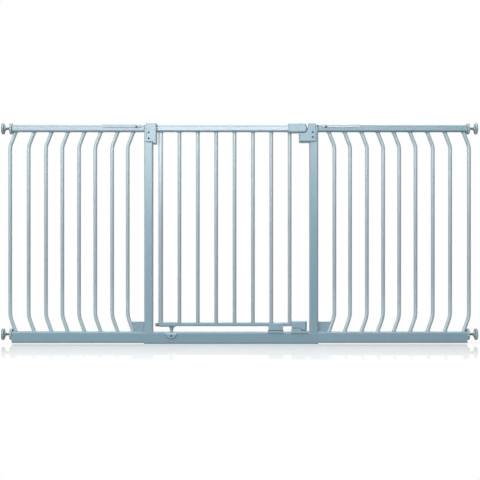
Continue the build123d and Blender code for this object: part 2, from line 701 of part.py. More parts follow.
def make_extension(name, side, post_outer_x, bar_gaps):
    """Rails, bars, joint plate and joint strap of one extension. Side is -1 left, 1 right."""
    rail_end_x = side * RAIL_END_X
    strap_start_x = post_outer_x + side * STRAP_OFFSET
    strap_screw = [(strap_start_x + side * STRAP_SCREW_OFFSET, STRAP_SCREW_Z)]
    rail_front = RAIL_SIDE / 2
    top_tube = box_tube_along_x(post_outer_x, rail_end_x, RAIL_Z, RAIL_SIDE, RAIL_SIDE, RAIL_CORNER)
    with BuildPart() as top_rail:
        add(top_tube)
        front_holes(strap_screw, rail_front, rail_front - 2 * TUBE_WALL, SCREW_HOLE_RADIUS)
    save(top_rail.part, f"{name}_top_rail")

    base_tube = box_tube_along_x(
        post_outer_x, rail_end_x, EXTENSION_BASE_Z, BASE_DEPTH, EXTENSION_HEIGHT, BASE_CORNER
    )
    save(base_tube, f"{name}_base_rail")

    places = bar_places(bar_gaps)
    bent_bars = [bent_bar(side * place, side) for place in places]
    with BuildPart() as bars:
        add(bent_bars)
    save(bars.part, f"{name}_bars")

    # The plate's free edge runs along the foot of the innermost bar.
    slope = tan(radians(FOOT_BEND_ANGLE))
    edge_offset = (BAR_DIAMETER / 2 + RUNNING_PLAY) / cos(radians(FOOT_BEND_ANGLE))
    edge_foot = side * (places[-1] - FOOT_BEND_SHIFT - edge_offset)
    edge_top = edge_foot + side * slope * (JOINT_PLATE_TOP - EXTENSION_BASE_TOP)
    with BuildPart() as joint_plate:
        with BuildSketch(Plane.XZ):
            with BuildLine():
                Polyline(
                    (post_outer_x, EXTENSION_BASE_TOP),
                    (edge_foot, EXTENSION_BASE_TOP),
                    (edge_top, JOINT_PLATE_TOP),
                    (post_outer_x, JOINT_PLATE_TOP),
                    close=True,
                )
            make_face()
        extrude(amount=JOINT_PLATE_THICKNESS / 2, both=True)
    save(joint_plate.part, f"{name}_joint_plate")

    strap_side = RAIL_SIDE + 2 * STRAP_THICKNESS
    with BuildPart() as joint_strap:
        with BuildSketch(across(strap_start_x, RAIL_Z)):
            RectangleRounded(strap_side, strap_side, RAIL_CORNER + STRAP_THICKNESS)
            RectangleRounded(
                RAIL_SIDE + 2 * RUNNING_PLAY, RAIL_SIDE + 2 * RUNNING_PLAY, RAIL_CORNER, mode=Mode.SUBTRACT
            )
            with Locations((0, STRAP_BOTTOM - RAIL_Z)):
                Rectangle(strap_side, strap_side, align=(Align.CENTER, Align.MAX), mode=Mode.SUBTRACT)
        extrude(amount=side * STRAP_LENGTH)
        lower_edges = joint_strap.edges().filter_by(Axis.X).group_by(Axis.Z)[0].sort_by(Axis.Y)
        chamfer([lower_edges[0], lower_edges[-1]], STRAP_EDGE)
        front_holes(strap_screw, strap_side / 2, rail_front, SCREW_HOLE_RADIUS)
    save(joint_strap.part, f"{name}_joint_strap")


def make_extension_joints():
    """Spigots that join the extensions to the frame, and the screws of the joint straps."""
    strap_screw_places = []
    strap_front = RAIL_SIDE / 2 + STRAP_THICKNESS
    spigot_front = TOP_SPIGOT_SIDE / 2
    sides = ((-1, HINGE_POST_OUTER_X), (1, LATCH_POST_OUTER_X))
    for side, post_outer_x in sides:
        screw_x = post_outer_x + side * (STRAP_OFFSET + STRAP_SCREW_OFFSET)
        strap_screw_places.append((screw_x, STRAP_SCREW_Z))
    top_tubes = [
        box_tube_along_x(
            post_outer_x,
            post_outer_x + side * TOP_SPIGOT_LENGTH,
            RAIL_Z,
            TOP_SPIGOT_SIDE,
            TOP_SPIGOT_SIDE,
            SPIGOT_CORNER,
        )
        for side, post_outer_x in sides
    ]
    with BuildPart() as top_spigots:
        add(top_tubes)
        front_holes(strap_screw_places, spigot_front, spigot_front - 2 * TUBE_WALL, SCREW_HOLE_RADIUS)
    save(top_spigots.part, "top_spigots")

    spigot_mid_z = (BASE_HEIGHT + EXTENSION_LIFT) / 2
    base_tubes = [
        box_tube_along_x(
            post_outer_x - BASE_SPIGOT_LENGTH / 2,
            post_outer_x + BASE_SPIGOT_LENGTH / 2,
            spigot_mid_z,
            BASE_SPIGOT_DEPTH,
            BASE_SPIGOT_HEIGHT,
            SPIGOT_CORNER,
        )
        for side, post_outer_x in sides
    ]
    with BuildPart() as base_spigots:
        add(base_tubes)
    save(base_spigots.part, "base_spigots")
    save(
        front_screws(strap_screw_places, strap_front + SCREW_HEAD_HEIGHT, STRAP_SCREW_LENGTH),
        "strap_screws",
    )


def end_plug(side, mid_z, depth, height, corner, spindle_z):
    """Plug in the wall end of a rail, bored for the spindle, with a flange over the rail's edge."""
    rail_end_x = side * RAIL_END_X
    inner_depth = depth - 2 * TUBE_WALL - 2 * SNUG
    inner_height = height - 2 * TUBE_WALL - 2 * SNUG
    with BuildPart() as plug:
        with BuildSketch(across(rail_end_x, mid_z)):
            RectangleRounded(inner_depth, inner_height, corner - TUBE_WALL)
        extrude(amount=-side * PLUG_DEPTH)
        with BuildSketch(across(rail_end_x, mid_z)):
            RectangleRounded(depth, height, corner)
        extrude(amount=side * PLUG_FLANGE)
        with BuildSketch(across(rail_end_x - side * PLUG_DEPTH, spindle_z)):
            Circle(SPINDLE_BORE_RADIUS)
        extrude(amount=side * (PLUG_DEPTH + PLUG_FLANGE), mode=Mode.SUBTRACT)
    return plug.part


def make_end_plugs():
    """Plugs of the two top rails, and plugs of the two extension base rails."""
    top_pair = [end_plug(side, RAIL_Z, RAIL_SIDE, RAIL_SIDE, RAIL_CORNER, RAIL_Z) for side in (-1, 1)]
    with BuildPart() as top_plugs:
        add(top_pair)
    save(top_plugs.part, "top_rail_plugs")

    base_pair = [
        end_plug(side, EXTENSION_BASE_Z, BASE_DEPTH, EXTENSION_HEIGHT, BASE_CORNER, BASE_SPINDLE_Z)
        for side in (-1, 1)
    ]
    with BuildPart() as base_plugs:
        add(base_pair)
    save(base_plugs.part, "base_rail_plugs")


def make_adjuster(name, side, z):
    """Hand wheel, spindle, pad and rubber facing of one wall adjuster."""
    with BuildPart() as wheel:
        with BuildSketch(across(side * WHEEL_X, z)):
            Circle(WHEEL_RADIUS)
            with PolarLocations(WHEEL_RADIUS + WHEEL_SCALLOP_RADIUS / 2, WHEEL_SCALLOPS):
                Circle(WHEEL_SCALLOP_RADIUS, mode=Mode.SUBTRACT)
        extrude(amount=side * WHEEL_THICKNESS)
        rims = wheel.faces().filter_by(Axis.X)
        chamfer(rims.edges(), WHEEL_EDGE)
        with BuildSketch(across(side * WHEEL_X, z)):
            Circle(SPINDLE_BORE_RADIUS)
        extrude(amount=side * WHEEL_THICKNESS, mode=Mode.SUBTRACT)
    save(wheel.part, f"{name}_wheel")

    with BuildPart() as spindle:
        with BuildSketch(across(side * SPINDLE_END_X, z)):
            Circle(SPINDLE_RADIUS)
        extrude(amount=side * (FACING_X - SPINDLE_END_X))
        chamfer(spindle.edges().sort_by(Axis.X)[0 if side > 0 else -1], 1)
    save(spindle.part, f"{name}_spindle")

    with BuildPart() as pad:
        with BuildSketch(across(side * PAD_X, z)):
            Circle(PAD_RADIUS)
        extrude(amount=side * PAD_THICKNESS)
        fillet(pad.edges(), PAD_EDGE)
        with BuildSketch(across(side * PAD_HUB_X, z)):
            Circle(PAD_HUB_RADIUS)
        extrude(amount=side * (PAD_X - PAD_HUB_X))
        with BuildSketch(across(side * PAD_HUB_X, z)):
            Circle(SPINDLE_RADIUS)
        extrude(amount=side * (FACING_X - PAD_HUB_X), mode=Mode.SUBTRACT)
    save(pad.part, f"{name}_pad")

    with BuildPart() as facing:
        with BuildSketch(across(side * FACING_X, z)):
            Circle(FACING_RADIUS)
        extrude(amount=side * FACING_THICKNESS)
    save(facing.part, f"{name}_pad_facing")


def make_door_frame():
    """Rails, stile and bars of the door."""
    slot_bottom = RAIL_Z - PLUG_SLOT_HEIGHT / 2
    slot_top = RAIL_Z + PLUG_SLOT_HEIGHT / 2
    top_tube = box_tube_along_x(
        DOOR_RAIL_START_X, DOOR_RAIL_END_X, RAIL_Z, RAIL_SIDE, RAIL_SIDE, RAIL_CORNER
    )
    with BuildPart() as door_top_rail:
        add(top_tube)
        block(
            (DOOR_RAIL_START_X, 0, slot_bottom),
            (PLUG_SLOT_END_X, RAIL_SIDE / 2, slot_top),
            mode=Mode.SUBTRACT,
        )
        round_bar(PIVOT_X, 0, BORE_RADIUS, RAIL_BOTTOM, RAIL_TOP, mode=Mode.SUBTRACT)
    save(door_top_rail.part, "door_top_rail")

    bottom_tube = box_tube_along_x(
        BOTTOM_RAIL_START_X,
        BOTTOM_RAIL_END_X,
        BOTTOM_RAIL_Z,
        BOTTOM_RAIL_DEPTH,
        BOTTOM_RAIL_HEIGHT,
        BOTTOM_RAIL_CORNER,
    )
    with BuildPart() as door_bottom_rail:
        add(bottom_tube)
        round_bar(PIVOT_X, 0, BORE_RADIUS, SLEEVE_BOTTOM, SLEEVE_TOP, mode=Mode.SUBTRACT)
    save(door_bottom_rail.part, "door_bottom_rail")

    with BuildPart() as hinge_stile:
        with BuildSketch(Plane.XY.offset(SLEEVE_TOP)):
            with Locations((STILE_X, 0)):
                Circle(STILE_DIAMETER / 2)
                Circle(STILE_DIAMETER / 2 - STILE_WALL, mode=Mode.SUBTRACT)
        extrude(amount=RAIL_BOTTOM - SLEEVE_TOP)
    save(hinge_stile.part, "hinge_stile")

    bar_xs = [DOOR_BAR_START_X + index * DOOR_BAR_GAP for index in range(DOOR_BAR_COUNT)]
    with BuildPart() as door_bars:
        with BuildSketch(Plane.XY.offset(BOTTOM_RAIL_TOP)):
            with Locations(*[(x, 0) for x in bar_xs]):
                Circle(BAR_DIAMETER / 2)
                Circle(BAR_DIAMETER / 2 - BAR_WALL, mode=Mode.SUBTRACT)
        extrude(amount=RAIL_BOTTOM - BOTTOM_RAIL_TOP)
    save(door_bars.part, "door_bars")


def make_hinge_side():
    """Hinge plug, pivot sleeve and end cap at the hinge side of the door, and its two pivots."""
    slot_bottom = RAIL_Z - PLUG_SLOT_HEIGHT / 2
    slot_top = RAIL_Z + PLUG_SLOT_HEIGHT / 2
    plug_side = RAIL_SIDE - 2 * TUBE_WALL - 2 * SNUG
    plug_start_x = DOOR_RAIL_START_X - PLUG_CAP_LENGTH
    arm_front = ARM_WIDTH / 2 + PLAY
    # The cap's end is rounded about the pivot, so that it keeps its distance as the door swings.
    with BuildPart() as hinge_plug:
        with BuildSketch(across(DOOR_RAIL_START_X, RAIL_Z)):
            RectangleRounded(plug_side, plug_side, RAIL_CORNER - TUBE_WALL)
        extrude(amount=PLUG_END_X - DOOR_RAIL_START_X)
        with BuildSketch(across(plug_start_x, RAIL_Z)):
            RectangleRounded(RAIL_SIDE, RAIL_SIDE, RAIL_CORNER)
        extrude(amount=PLUG_CAP_LENGTH)
        round_bar(PIVOT_X, 0, PLUG_DOME_RADIUS, RAIL_BOTTOM, RAIL_TOP, mode=Mode.INTERSECT)
        block(
            (plug_start_x, -arm_front, slot_bottom),
            (PLUG_SLOT_END_X, RAIL_SIDE / 2, slot_top),
            mode=Mode.SUBTRACT,
        )
        round_bar(PIVOT_X, 0, BORE_RADIUS, RAIL_BOTTOM, RAIL_TOP, mode=Mode.SUBTRACT)
    save(hinge_plug.part, "hinge_plug")

    sleeve_mid_z = (SLEEVE_BOTTOM + SLEEVE_TOP) / 2
    with BuildPart() as pivot_sleeve:
        with BuildSketch(across(SLEEVE_START_X, sleeve_mid_z)):
            RectangleRounded(SLEEVE_DEPTH, SLEEVE_TOP - SLEEVE_BOTTOM, SLEEVE_CORNER)
            with Locations((0, BOTTOM_RAIL_Z - sleeve_mid_z)):
                RectangleRounded(
                    BOTTOM_RAIL_DEPTH + 2 * SNUG,
                    BOTTOM_RAIL_HEIGHT + 2 * SNUG,
                    BOTTOM_RAIL_CORNER,
                    mode=Mode.SUBTRACT,
                )
        extrude(amount=SLEEVE_END_X - SLEEVE_START_X)
        round_bar(PIVOT_X, 0, BORE_RADIUS, SLEEVE_BOTTOM, SLEEVE_TOP, mode=Mode.SUBTRACT)
    save(pivot_sleeve.part, "pivot_sleeve")

    with BuildPart() as bottom_rail_cap:
        with BuildSketch(across(CAP_START_X, CAP_Z)):
            Circle(CAP_RADIUS)
        extrude(amount=SLEEVE_START_X - CAP_START_X)
        fillet(bottom_rail_cap.edges().sort_by(Axis.X)[0], CAP_EDGE)
        with BuildSketch(across(SLEEVE_START_X, BOTTOM_RAIL_Z)):
            RectangleRounded(BOTTOM_RAIL_DEPTH, BOTTOM_RAIL_HEIGHT, BOTTOM_RAIL_CORNER)
        extrude(amount=BOTTOM_RAIL_START_X - SLEEVE_START_X)
        with BuildSketch(across(BOTTOM_RAIL_START_X, BOTTOM_RAIL_Z)):
            RectangleRounded(
                BOTTOM_RAIL_DEPTH - 2 * TUBE_WALL - 2 * SNUG,
                BOTTOM_RAIL_HEIGHT - 2 * TUBE_WALL - 2 * SNUG,
                BOTTOM_RAIL_CORNER - TUBE_WALL,
            )
        extrude(amount=CAP_PLUG_LENGTH)
    save(bottom_rail_cap.part, "bottom_rail_cap")

    with BuildPart() as upper_hinge_pin:
        round_bar(PIVOT_X, 0, PIN_RADIUS, RAIL_BOTTOM, RAIL_TOP)
        chamfer(upper_hinge_pin.faces().sort_by(Axis.Z)[-1].edges(), PIN_EDGE)
    save(upper_hinge_pin.part, "upper_hinge_pin")

    cone_top = SLEEVE_BOTTOM - PLAY
    with BuildPart() as pivot_cone:
        with BuildSketch(Plane.XZ):
            with BuildLine():
                Polyline(
                    (PIVOT_X, CONE_PIN_BOTTOM),
                    (PIVOT_X + CONE_TIP_RADIUS, CONE_PIN_BOTTOM),
                    (PIVOT_X + CONE_TIP_RADIUS, CONE_TIP_Z),
                    (PIVOT_X + CONE_RADIUS, cone_top),
                    (PIVOT_X + PIN_RADIUS, cone_top),
                    (PIVOT_X + PIN_RADIUS, SLEEVE_TOP),
                    (PIVOT_X, SLEEVE_TOP),
                    close=True,
                )
            make_face()
        revolve(axis=Axis((PIVOT_X, 0, 0), (0, 0, 1)))
    save(pivot_cone.part, "pivot_cone")


def make_foot_hook():
    """Block at the latch end of the bottom rail, with a tongue behind the keeper's lip."""
    half_depth = HOOK_DEPTH / 2
    tongue_half = HOOK_TONGUE_DEPTH / 2
    outline = (
        (HOOK_START_X, HOOK_BOTTOM),
        (HOOK_TOE_START_X, HOOK_BOTTOM),
        (HOOK_TOE_START_X, HOOK_TOE_BOTTOM),
        (HOOK_END_X, HOOK_TOE_BOTTOM),
        (HOOK_END_X, HOOK_TOP),
        (HOOK_START_X, HOOK_TOP),
    )
    corner_radii = (HOOK_EDGE, HOOK_INNER_CORNER, HOOK_EDGE, HOOK_EDGE, HOOK_EDGE, HOOK_EDGE)
    with BuildPart() as foot_hook:
        with BuildSketch(Plane.XZ):
            with BuildLine():
                FilletPolyline(*outline, radius=corner_radii, close=True)
            make_face()
        extrude(amount=half_depth, both=True)
        front = foot_hook.faces().sort_by(Axis.Y)[0]
        back = foot_hook.faces().sort_by(Axis.Y)[-1]
        chamfer(front.edges() + back.edges(), HOOK_EDGE)
        with BuildSketch(Plane.XY.offset(HOOK_TOE_BOTTOM)):
            with BuildLine():
                Polyline(
                    (HOOK_END_X, -half_depth),
                    (HOOK_END_X - HOOK_END_SLOPE, -half_depth),
                    (HOOK_END_X, HOOK_END_SLOPE - half_depth),
                    close=True,
                )
            make_face()
        extrude(amount=HOOK_TOP - HOOK_TOE_BOTTOM, mode=Mode.SUBTRACT)
        block(
            (HOOK_TONGUE_START_X, -tongue_half, HOOK_TONGUE_BOTTOM),
            (HOOK_TONGUE_END_X, tongue_half, HOOK_BOTTOM + HOOK_EDGE),
        )
        with BuildSketch(across(HOOK_START_X, BOTTOM_RAIL_Z)):
            RectangleRounded(
                BOTTOM_RAIL_DEPTH + 2 * SNUG, BOTTOM_RAIL_HEIGHT + 2 * SNUG, BOTTOM_RAIL_CORNER
            )
        extrude(amount=BOTTOM_RAIL_END_X + SNUG - HOOK_START_X, mode=Mode.SUBTRACT)
    save(foot_hook.part, "foot_hook")


def make_handle_shell(name, facing):
    """One half of the handle, which closes round the rail's end and the latch bolt.

    Facing is -1 for the shell towards the room and 1 for the one behind it.
    """
    half_depth = HANDLE_DEPTH / 2
    mid_z = (HANDLE_BOTTOM + HANDLE_TOP) / 2
    socket_side = RAIL_SIDE + 2 * SNUG
    bolt_half_depth = BOLT_DEPTH / 2 + PLAY
    bolt_half_height = BOLT_HEIGHT / 2 + PLAY
    neck_half_depth = NECK_DEPTH / 2 + PLAY
    button_half_depth = BUTTON_DEPTH / 2 + PLAY
    neck_slot_start_x = NECK_MID_X - NECK_LENGTH / 2 - BOLT_TRAVEL - 2 * PLAY
    neck_slot_end_x = NECK_MID_X + NECK_LENGTH / 2 + 2 * PLAY
    recess_start_x = BUTTON_MID_X - BUTTON_LENGTH / 2 - BOLT_TRAVEL - 2 * PLAY
    recess_end_x = BUTTON_MID_X + BUTTON_LENGTH / 2 + 2 * PLAY
    last_bar_x = DOOR_BAR_START_X + (DOOR_BAR_COUNT - 1) * DOOR_BAR_GAP
    screw_tip_y = HANDLE_SCREW_LENGTH + SCREW_HEAD_HEIGHT - half_depth
    with BuildPart() as shell:
        with BuildSketch(Plane.XZ):
            with BuildLine():
                Polyline(
                    (HANDLE_NOSE_START_X, HANDLE_BOTTOM),
                    (HANDLE_START_X, HANDLE_BOTTOM),
                    (HANDLE_START_X, HANDLE_TOP),
                    (HANDLE_NOSE_START_X, HANDLE_TOP),
                )
                ThreePointArc(
                    (HANDLE_NOSE_START_X, HANDLE_TOP),
                    (HANDLE_NOSE_X, mid_z),
                    (HANDLE_NOSE_START_X, HANDLE_BOTTOM),
                )
            make_face()
        extrude(amount=-facing * half_depth)
        outer_face = shell.faces().sort_by(Axis.Y)[0 if facing < 0 else -1]
        fillet(outer_face.edges(), HANDLE_EDGE)
        block(
            (TONGUE_START_X, min(0, facing * TONGUE_DEPTH / 2), TONGUE_BOTTOM),
            (TONGUE_END_X, max(0, facing * TONGUE_DEPTH / 2), HANDLE_BOTTOM),
        )
        with BuildSketch(across(HANDLE_START_X, RAIL_Z)):
            RectangleRounded(socket_side, socket_side, RAIL_CORNER)
        extrude(amount=DOOR_RAIL_END_X + SNUG - HANDLE_START_X, mode=Mode.SUBTRACT)
        block(
            (CHANNEL_START_X, -bolt_half_depth, BOLT_Z - bolt_half_height),
            (HANDLE_NOSE_X, bolt_half_depth, BOLT_Z + bolt_half_height),
            mode=Mode.SUBTRACT,
        )
        block(
            (neck_slot_start_x, -neck_half_depth, BOLT_Z),
            (neck_slot_end_x, neck_half_depth, HANDLE_TOP),
            mode=Mode.SUBTRACT,
        )
        block(
            (recess_start_x, -button_half_depth, RECESS_FLOOR),
            (recess_end_x, button_half_depth, HANDLE_TOP),
            mode=Mode.SUBTRACT,
        )
        round_bar(
            last_bar_x, 0, BAR_DIAMETER / 2 + SNUG, HANDLE_BOTTOM, RAIL_BOTTOM, mode=Mode.SUBTRACT
        )
        front_holes(HANDLE_SCREW_PLACES, screw_tip_y, -half_depth, SCREW_HOLE_RADIUS)
        front_holes(
            HANDLE_SCREW_PLACES, SCREW_HEAD_HEIGHT - half_depth, -half_depth, SCREW_HEAD_RADIUS + SNUG
        )
    save(shell.part, name)


def spring_path_points():
    """Corners of the latch spring's helix, which runs along X behind the bolt."""
    point_count = SPRING_TURNS * SPRING_POINTS_PER_TURN
    start_x = CHANNEL_START_X + SPRING_WIRE_RADIUS + PLAY
    end_x = BOLT_START_X - SPRING_WIRE_RADIUS - PLAY
    points = []
    for index in range(point_count + 1):
        share = index / point_count
        angle = 2 * pi * SPRING_TURNS * share
        points.append((
            start_x + (end_x - start_x) * share,
            SPRING_RADIUS * cos(angle),
            BOLT_Z + SPRING_RADIUS * sin(angle),
        ))
    return points


def make_latch():
    """Latch bolt with its thumb button and spring, and the screws that close the handle."""
    bolt_mid_x = (BOLT_START_X + BOLT_END_X) / 2
    bolt_top = BOLT_Z + BOLT_HEIGHT / 2
    with BuildPart() as latch_bolt:
        with BuildSketch(Plane.XY.offset(BOLT_Z - BOLT_HEIGHT / 2)):
            with Locations((bolt_mid_x, 0)):
                Rectangle(BOLT_END_X - BOLT_START_X, BOLT_DEPTH)
        extrude(amount=BOLT_HEIGHT)
        chamfer(latch_bolt.faces().sort_by(Axis.X)[-1].edges(), BOLT_NOSE_CHAMFER)
    save(latch_bolt.part, "latch_bolt")

    with BuildPart() as release_button:
        with BuildSketch(Plane.XY.offset(BUTTON_BOTTOM)):
            with Locations((BUTTON_MID_X, 0)):
                RectangleRounded(BUTTON_LENGTH, BUTTON_DEPTH, 2 * BUTTON_EDGE)
        extrude(amount=BUTTON_TOP - BUTTON_BOTTOM)
        fillet(release_button.faces().sort_by(Axis.Z)[-1].edges(), BUTTON_EDGE)
        with BuildSketch(Plane.XY.offset(bolt_top)):
            with Locations((NECK_MID_X, 0)):
                Rectangle(NECK_LENGTH, NECK_DEPTH)
        extrude(amount=BUTTON_BOTTOM - bolt_top)
    save(release_button.part, "release_button")

    points = spring_path_points()
    run = 2 * SPRING_RADIUS * sin(pi / SPRING_POINTS_PER_TURN)
    bend_radius = 0.45 * run / tan(pi / SPRING_POINTS_PER_TURN)
    with BuildPart() as bolt_spring:
        with BuildLine() as path:
            FilletPolyline(*points, radius=bend_radius)
        with BuildSketch(Plane(origin=path.line @ 0, z_dir=path.line % 0)):
            Circle(SPRING_WIRE_RADIUS)
        sweep(path=path.line)
    save(bolt_spring.part, "bolt_spring")

    save(handle_screws(), "handle_screws")


def handle_screws():
    """Screws driven from behind that hold the two handle shells together."""
    back_y = HANDLE_DEPTH / 2
    with BuildPart() as screws:
        with BuildSketch(Plane.XZ.offset(-back_y)):
            with Locations(*HANDLE_SCREW_PLACES):
                Circle(SCREW_HEAD_RADIUS)
        extrude(amount=SCREW_HEAD_HEIGHT)
        with BuildSketch(Plane.XZ.offset(SCREW_HEAD_HEIGHT - back_y)):
            with Locations(*HANDLE_SCREW_PLACES):
                Circle(SCREW_SHANK_RADIUS)
        extrude(amount=HANDLE_SCREW_LENGTH)
        with BuildSketch(Plane.XZ.offset(-back_y)):
            with Locations(*HANDLE_SCREW_PLACES):
                RegularPolygon(SCREW_SOCKET_RADIUS, 6)
        extrude(amount=SCREW_SOCKET_DEPTH, mode=Mode.SUBTRACT)
    return screws.part


def main():
    os.makedirs("parts", exist_ok=True)
    make_base_rail()
    make_post("hinge_post", HINGE_POST_X, HINGE_SCREW_X, HINGE_SCREW_HEIGHTS)
    make_post("latch_post", LATCH_POST_X, RECEIVER_SCREW_X, RECEIVER_SCREW_HEIGHTS)
    make_hinge_cover()
    make_hinge_arm()
    make_pivot_block()
    make_latch_receiver()
    make_swing_stop()
    make_foot_keeper()
    make_frame_screws()
    make_extension("left", -1, HINGE_POST_OUTER_X, LEFT_BAR_GAPS)
    make_extension("right", 1, LATCH_POST_OUTER_X, RIGHT_BAR_GAPS)
    make_extension_joints()
    make_end_plugs()
    make_adjuster("left_top", -1, RAIL_Z)
    make_adjuster("left_base", -1, BASE_SPINDLE_Z)
    make_adjuster("right_top", 1, RAIL_Z)
    make_adjuster("right_base", 1, BASE_SPINDLE_Z)
    make_door_frame()
    make_hinge_side()
    make_foot_hook()
    make_handle_shell("handle_front", -1)
    make_handle_shell("handle_back", 1)
    make_latch()


main()
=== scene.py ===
import json
import math

import bmesh
import bpy
from bpy.props import FloatProperty, FloatVectorProperty, IntProperty, PointerProperty
from bpy.types import Operator, Panel, PropertyGroup
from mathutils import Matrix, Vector


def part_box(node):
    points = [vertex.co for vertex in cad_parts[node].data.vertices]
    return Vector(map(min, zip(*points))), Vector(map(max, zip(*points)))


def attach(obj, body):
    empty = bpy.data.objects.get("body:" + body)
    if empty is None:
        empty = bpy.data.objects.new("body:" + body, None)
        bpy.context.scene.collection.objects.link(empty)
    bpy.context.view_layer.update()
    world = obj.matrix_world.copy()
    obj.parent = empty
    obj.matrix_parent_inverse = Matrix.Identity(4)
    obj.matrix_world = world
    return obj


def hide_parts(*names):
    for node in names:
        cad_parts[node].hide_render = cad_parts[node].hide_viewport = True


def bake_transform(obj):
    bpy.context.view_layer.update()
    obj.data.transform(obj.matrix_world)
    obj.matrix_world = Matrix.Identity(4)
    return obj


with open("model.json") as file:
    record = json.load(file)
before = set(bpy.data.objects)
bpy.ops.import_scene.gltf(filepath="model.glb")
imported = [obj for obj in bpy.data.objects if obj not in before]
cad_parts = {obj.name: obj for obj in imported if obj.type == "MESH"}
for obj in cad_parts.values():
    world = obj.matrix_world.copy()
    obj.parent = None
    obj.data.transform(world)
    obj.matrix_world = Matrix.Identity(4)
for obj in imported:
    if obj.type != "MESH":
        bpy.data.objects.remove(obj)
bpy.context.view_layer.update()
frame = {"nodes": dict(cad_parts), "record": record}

bl_info = {
    "name": "Safety Gate Looks",
    "version": (1, 0, 0),
    "blender": (4, 5, 0),
    "location": "View3D > Sidebar > Safety Gate",
    "description": "Finishes, fittings and stage of a walk-through safety gate",
    "category": "Object",
}

NODES = frame["nodes"]
BODY_OF_NODE = {
    node: body
    for body, nodes in frame["record"]["behaviour"]["bodies"].items()
    for node in nodes
}
SLOT_OF_NODE = {name: node.data.materials[0].name.split(".")[0] for name, node in NODES.items()}
TURN = 2 * math.pi

# Places and sizes that the solids give, in metres
RAIL_BOTTOM = 0.721
EXTENSION_BASE_TOP = 0.041
DOOR_RAIL_TOP = 0.072
BAR_RADIUS = 0.0065
STILE_RADIUS = 0.008
STILE_X = -0.269
STILE_FOOT = 0.0735
TOP_BEND_SHIFT = 0.019
FOOT_BEND_SHIFT = 0.0187
TOP_BEND_ANGLE = math.radians(21.3)
FOOT_BEND_ANGLE = math.radians(20)
OUTER_BAR_X = 0.783
BAR_GAPS = {
    "left": (0.063, 0.0591, 0.056, 0.0568, 0.0555, 0.0577, 0.0531),
    "right": (0.0642, 0.0592, 0.0589, 0.0558, 0.0548, 0.0554, 0.0575, 0.0534),
}
SIDES = {"left": -1, "right": 1}
DOOR_BAR_START_X = -0.2052
DOOR_BAR_GAP = 0.0627
DOOR_BAR_COUNT = 7
BUTTON_X = 0.208
ADJUSTER_HEIGHTS = {"top": 0.733, "base": 0.0315}
WHEEL_X = 0.7753
WHEEL_THICKNESS = 0.008
WHEEL_RADIUS = 0.0195
SPINDLE_BORE_RADIUS = 0.00455
SPINDLE_RADIUS = 0.0045
SPINDLE_START_X = 0.735
PAD_HUB_X = 0.797
PAD_X = 0.803
PAD_RADIUS = 0.020
PAD_HUB_RADIUS = 0.008
FACING_X = 0.8075
FACING_RADIUS = 0.0194
WALL_X = 0.810

# Rounding of edges: what counts as one point, as flat and as sharp
MERGE_DISTANCE = 2e-6
FLAT_ANGLE = math.radians(0.6)
SHARP_ANGLE = math.radians(30)
STEEL_EDGE = 0.0004
FINE_EDGE = 0.0003
FLAT_FACE_WEIGHT = 90

# Weld beads: steps round the bar and round the bead, and the ripple left by the torch
WELD_STEPS = 32
BEAD_STEPS = 8
WELD_RIPPLES = 8
WELD_RIPPLE_SHARE = 0.09

# Latch spring, and the ridges of the thumb button as places along Y with a share of their radius
SPRING_TURNS = 7
SPRING_STEPS = 24
SPRING_WIRE_RADIUS = 0.00045
SPRING_WIRE_STEPS = 10
RIDGE_GAP = 0.003
RIDGE_RADIUS = 0.0006
RIDGE_REACH = 0.0055
RIDGE_STEPS = 10
RIDGE_SECTION = (
    (-RIDGE_REACH, 0.3), (-RIDGE_REACH + RIDGE_RADIUS, 1.0),
    (RIDGE_REACH - RIDGE_RADIUS, 1.0), (RIDGE_REACH, 0.3),
)

# Hand wheel: radius and depth from the bore over hub and sunk web to the rim, then the rim's
# rounding as distance in from the rim and depth
GRIP_STEPS = 12
GRIP_DEPTH = 0.0016
WHEEL_WEB = (
    (SPINDLE_BORE_RADIUS, 0.0004), (SPINDLE_BORE_RADIUS + 0.0004, 0), (0.0084, 0), (0.0088, 0.0003),
    (0.0092, 0.0013), (0.0098, 0.0016), (0.0142, 0.0016), (0.0147, 0.0013), (0.0151, 0.0003),
    (0.0155, 0),
)
WHEEL_RIM = ((0.0014, 0), (0.0006, 0.0003), (0.0001, 0.0010), (0, 0.0018))

# Spindle: its chamfer, its thread and its plain end inside the pad
CHAMFER_LENGTH = 0.0012
CHAMFER_DEPTH = 0.0004
THREAD_SIDES = 28
THREAD_STEPS = 8
THREAD_STEEPNESS = 1.5
THREAD_ROOT_SHARE = 0.25
THREAD_RUN_OUT = 0.0005
SPINDLE_PLAY = 0.0001

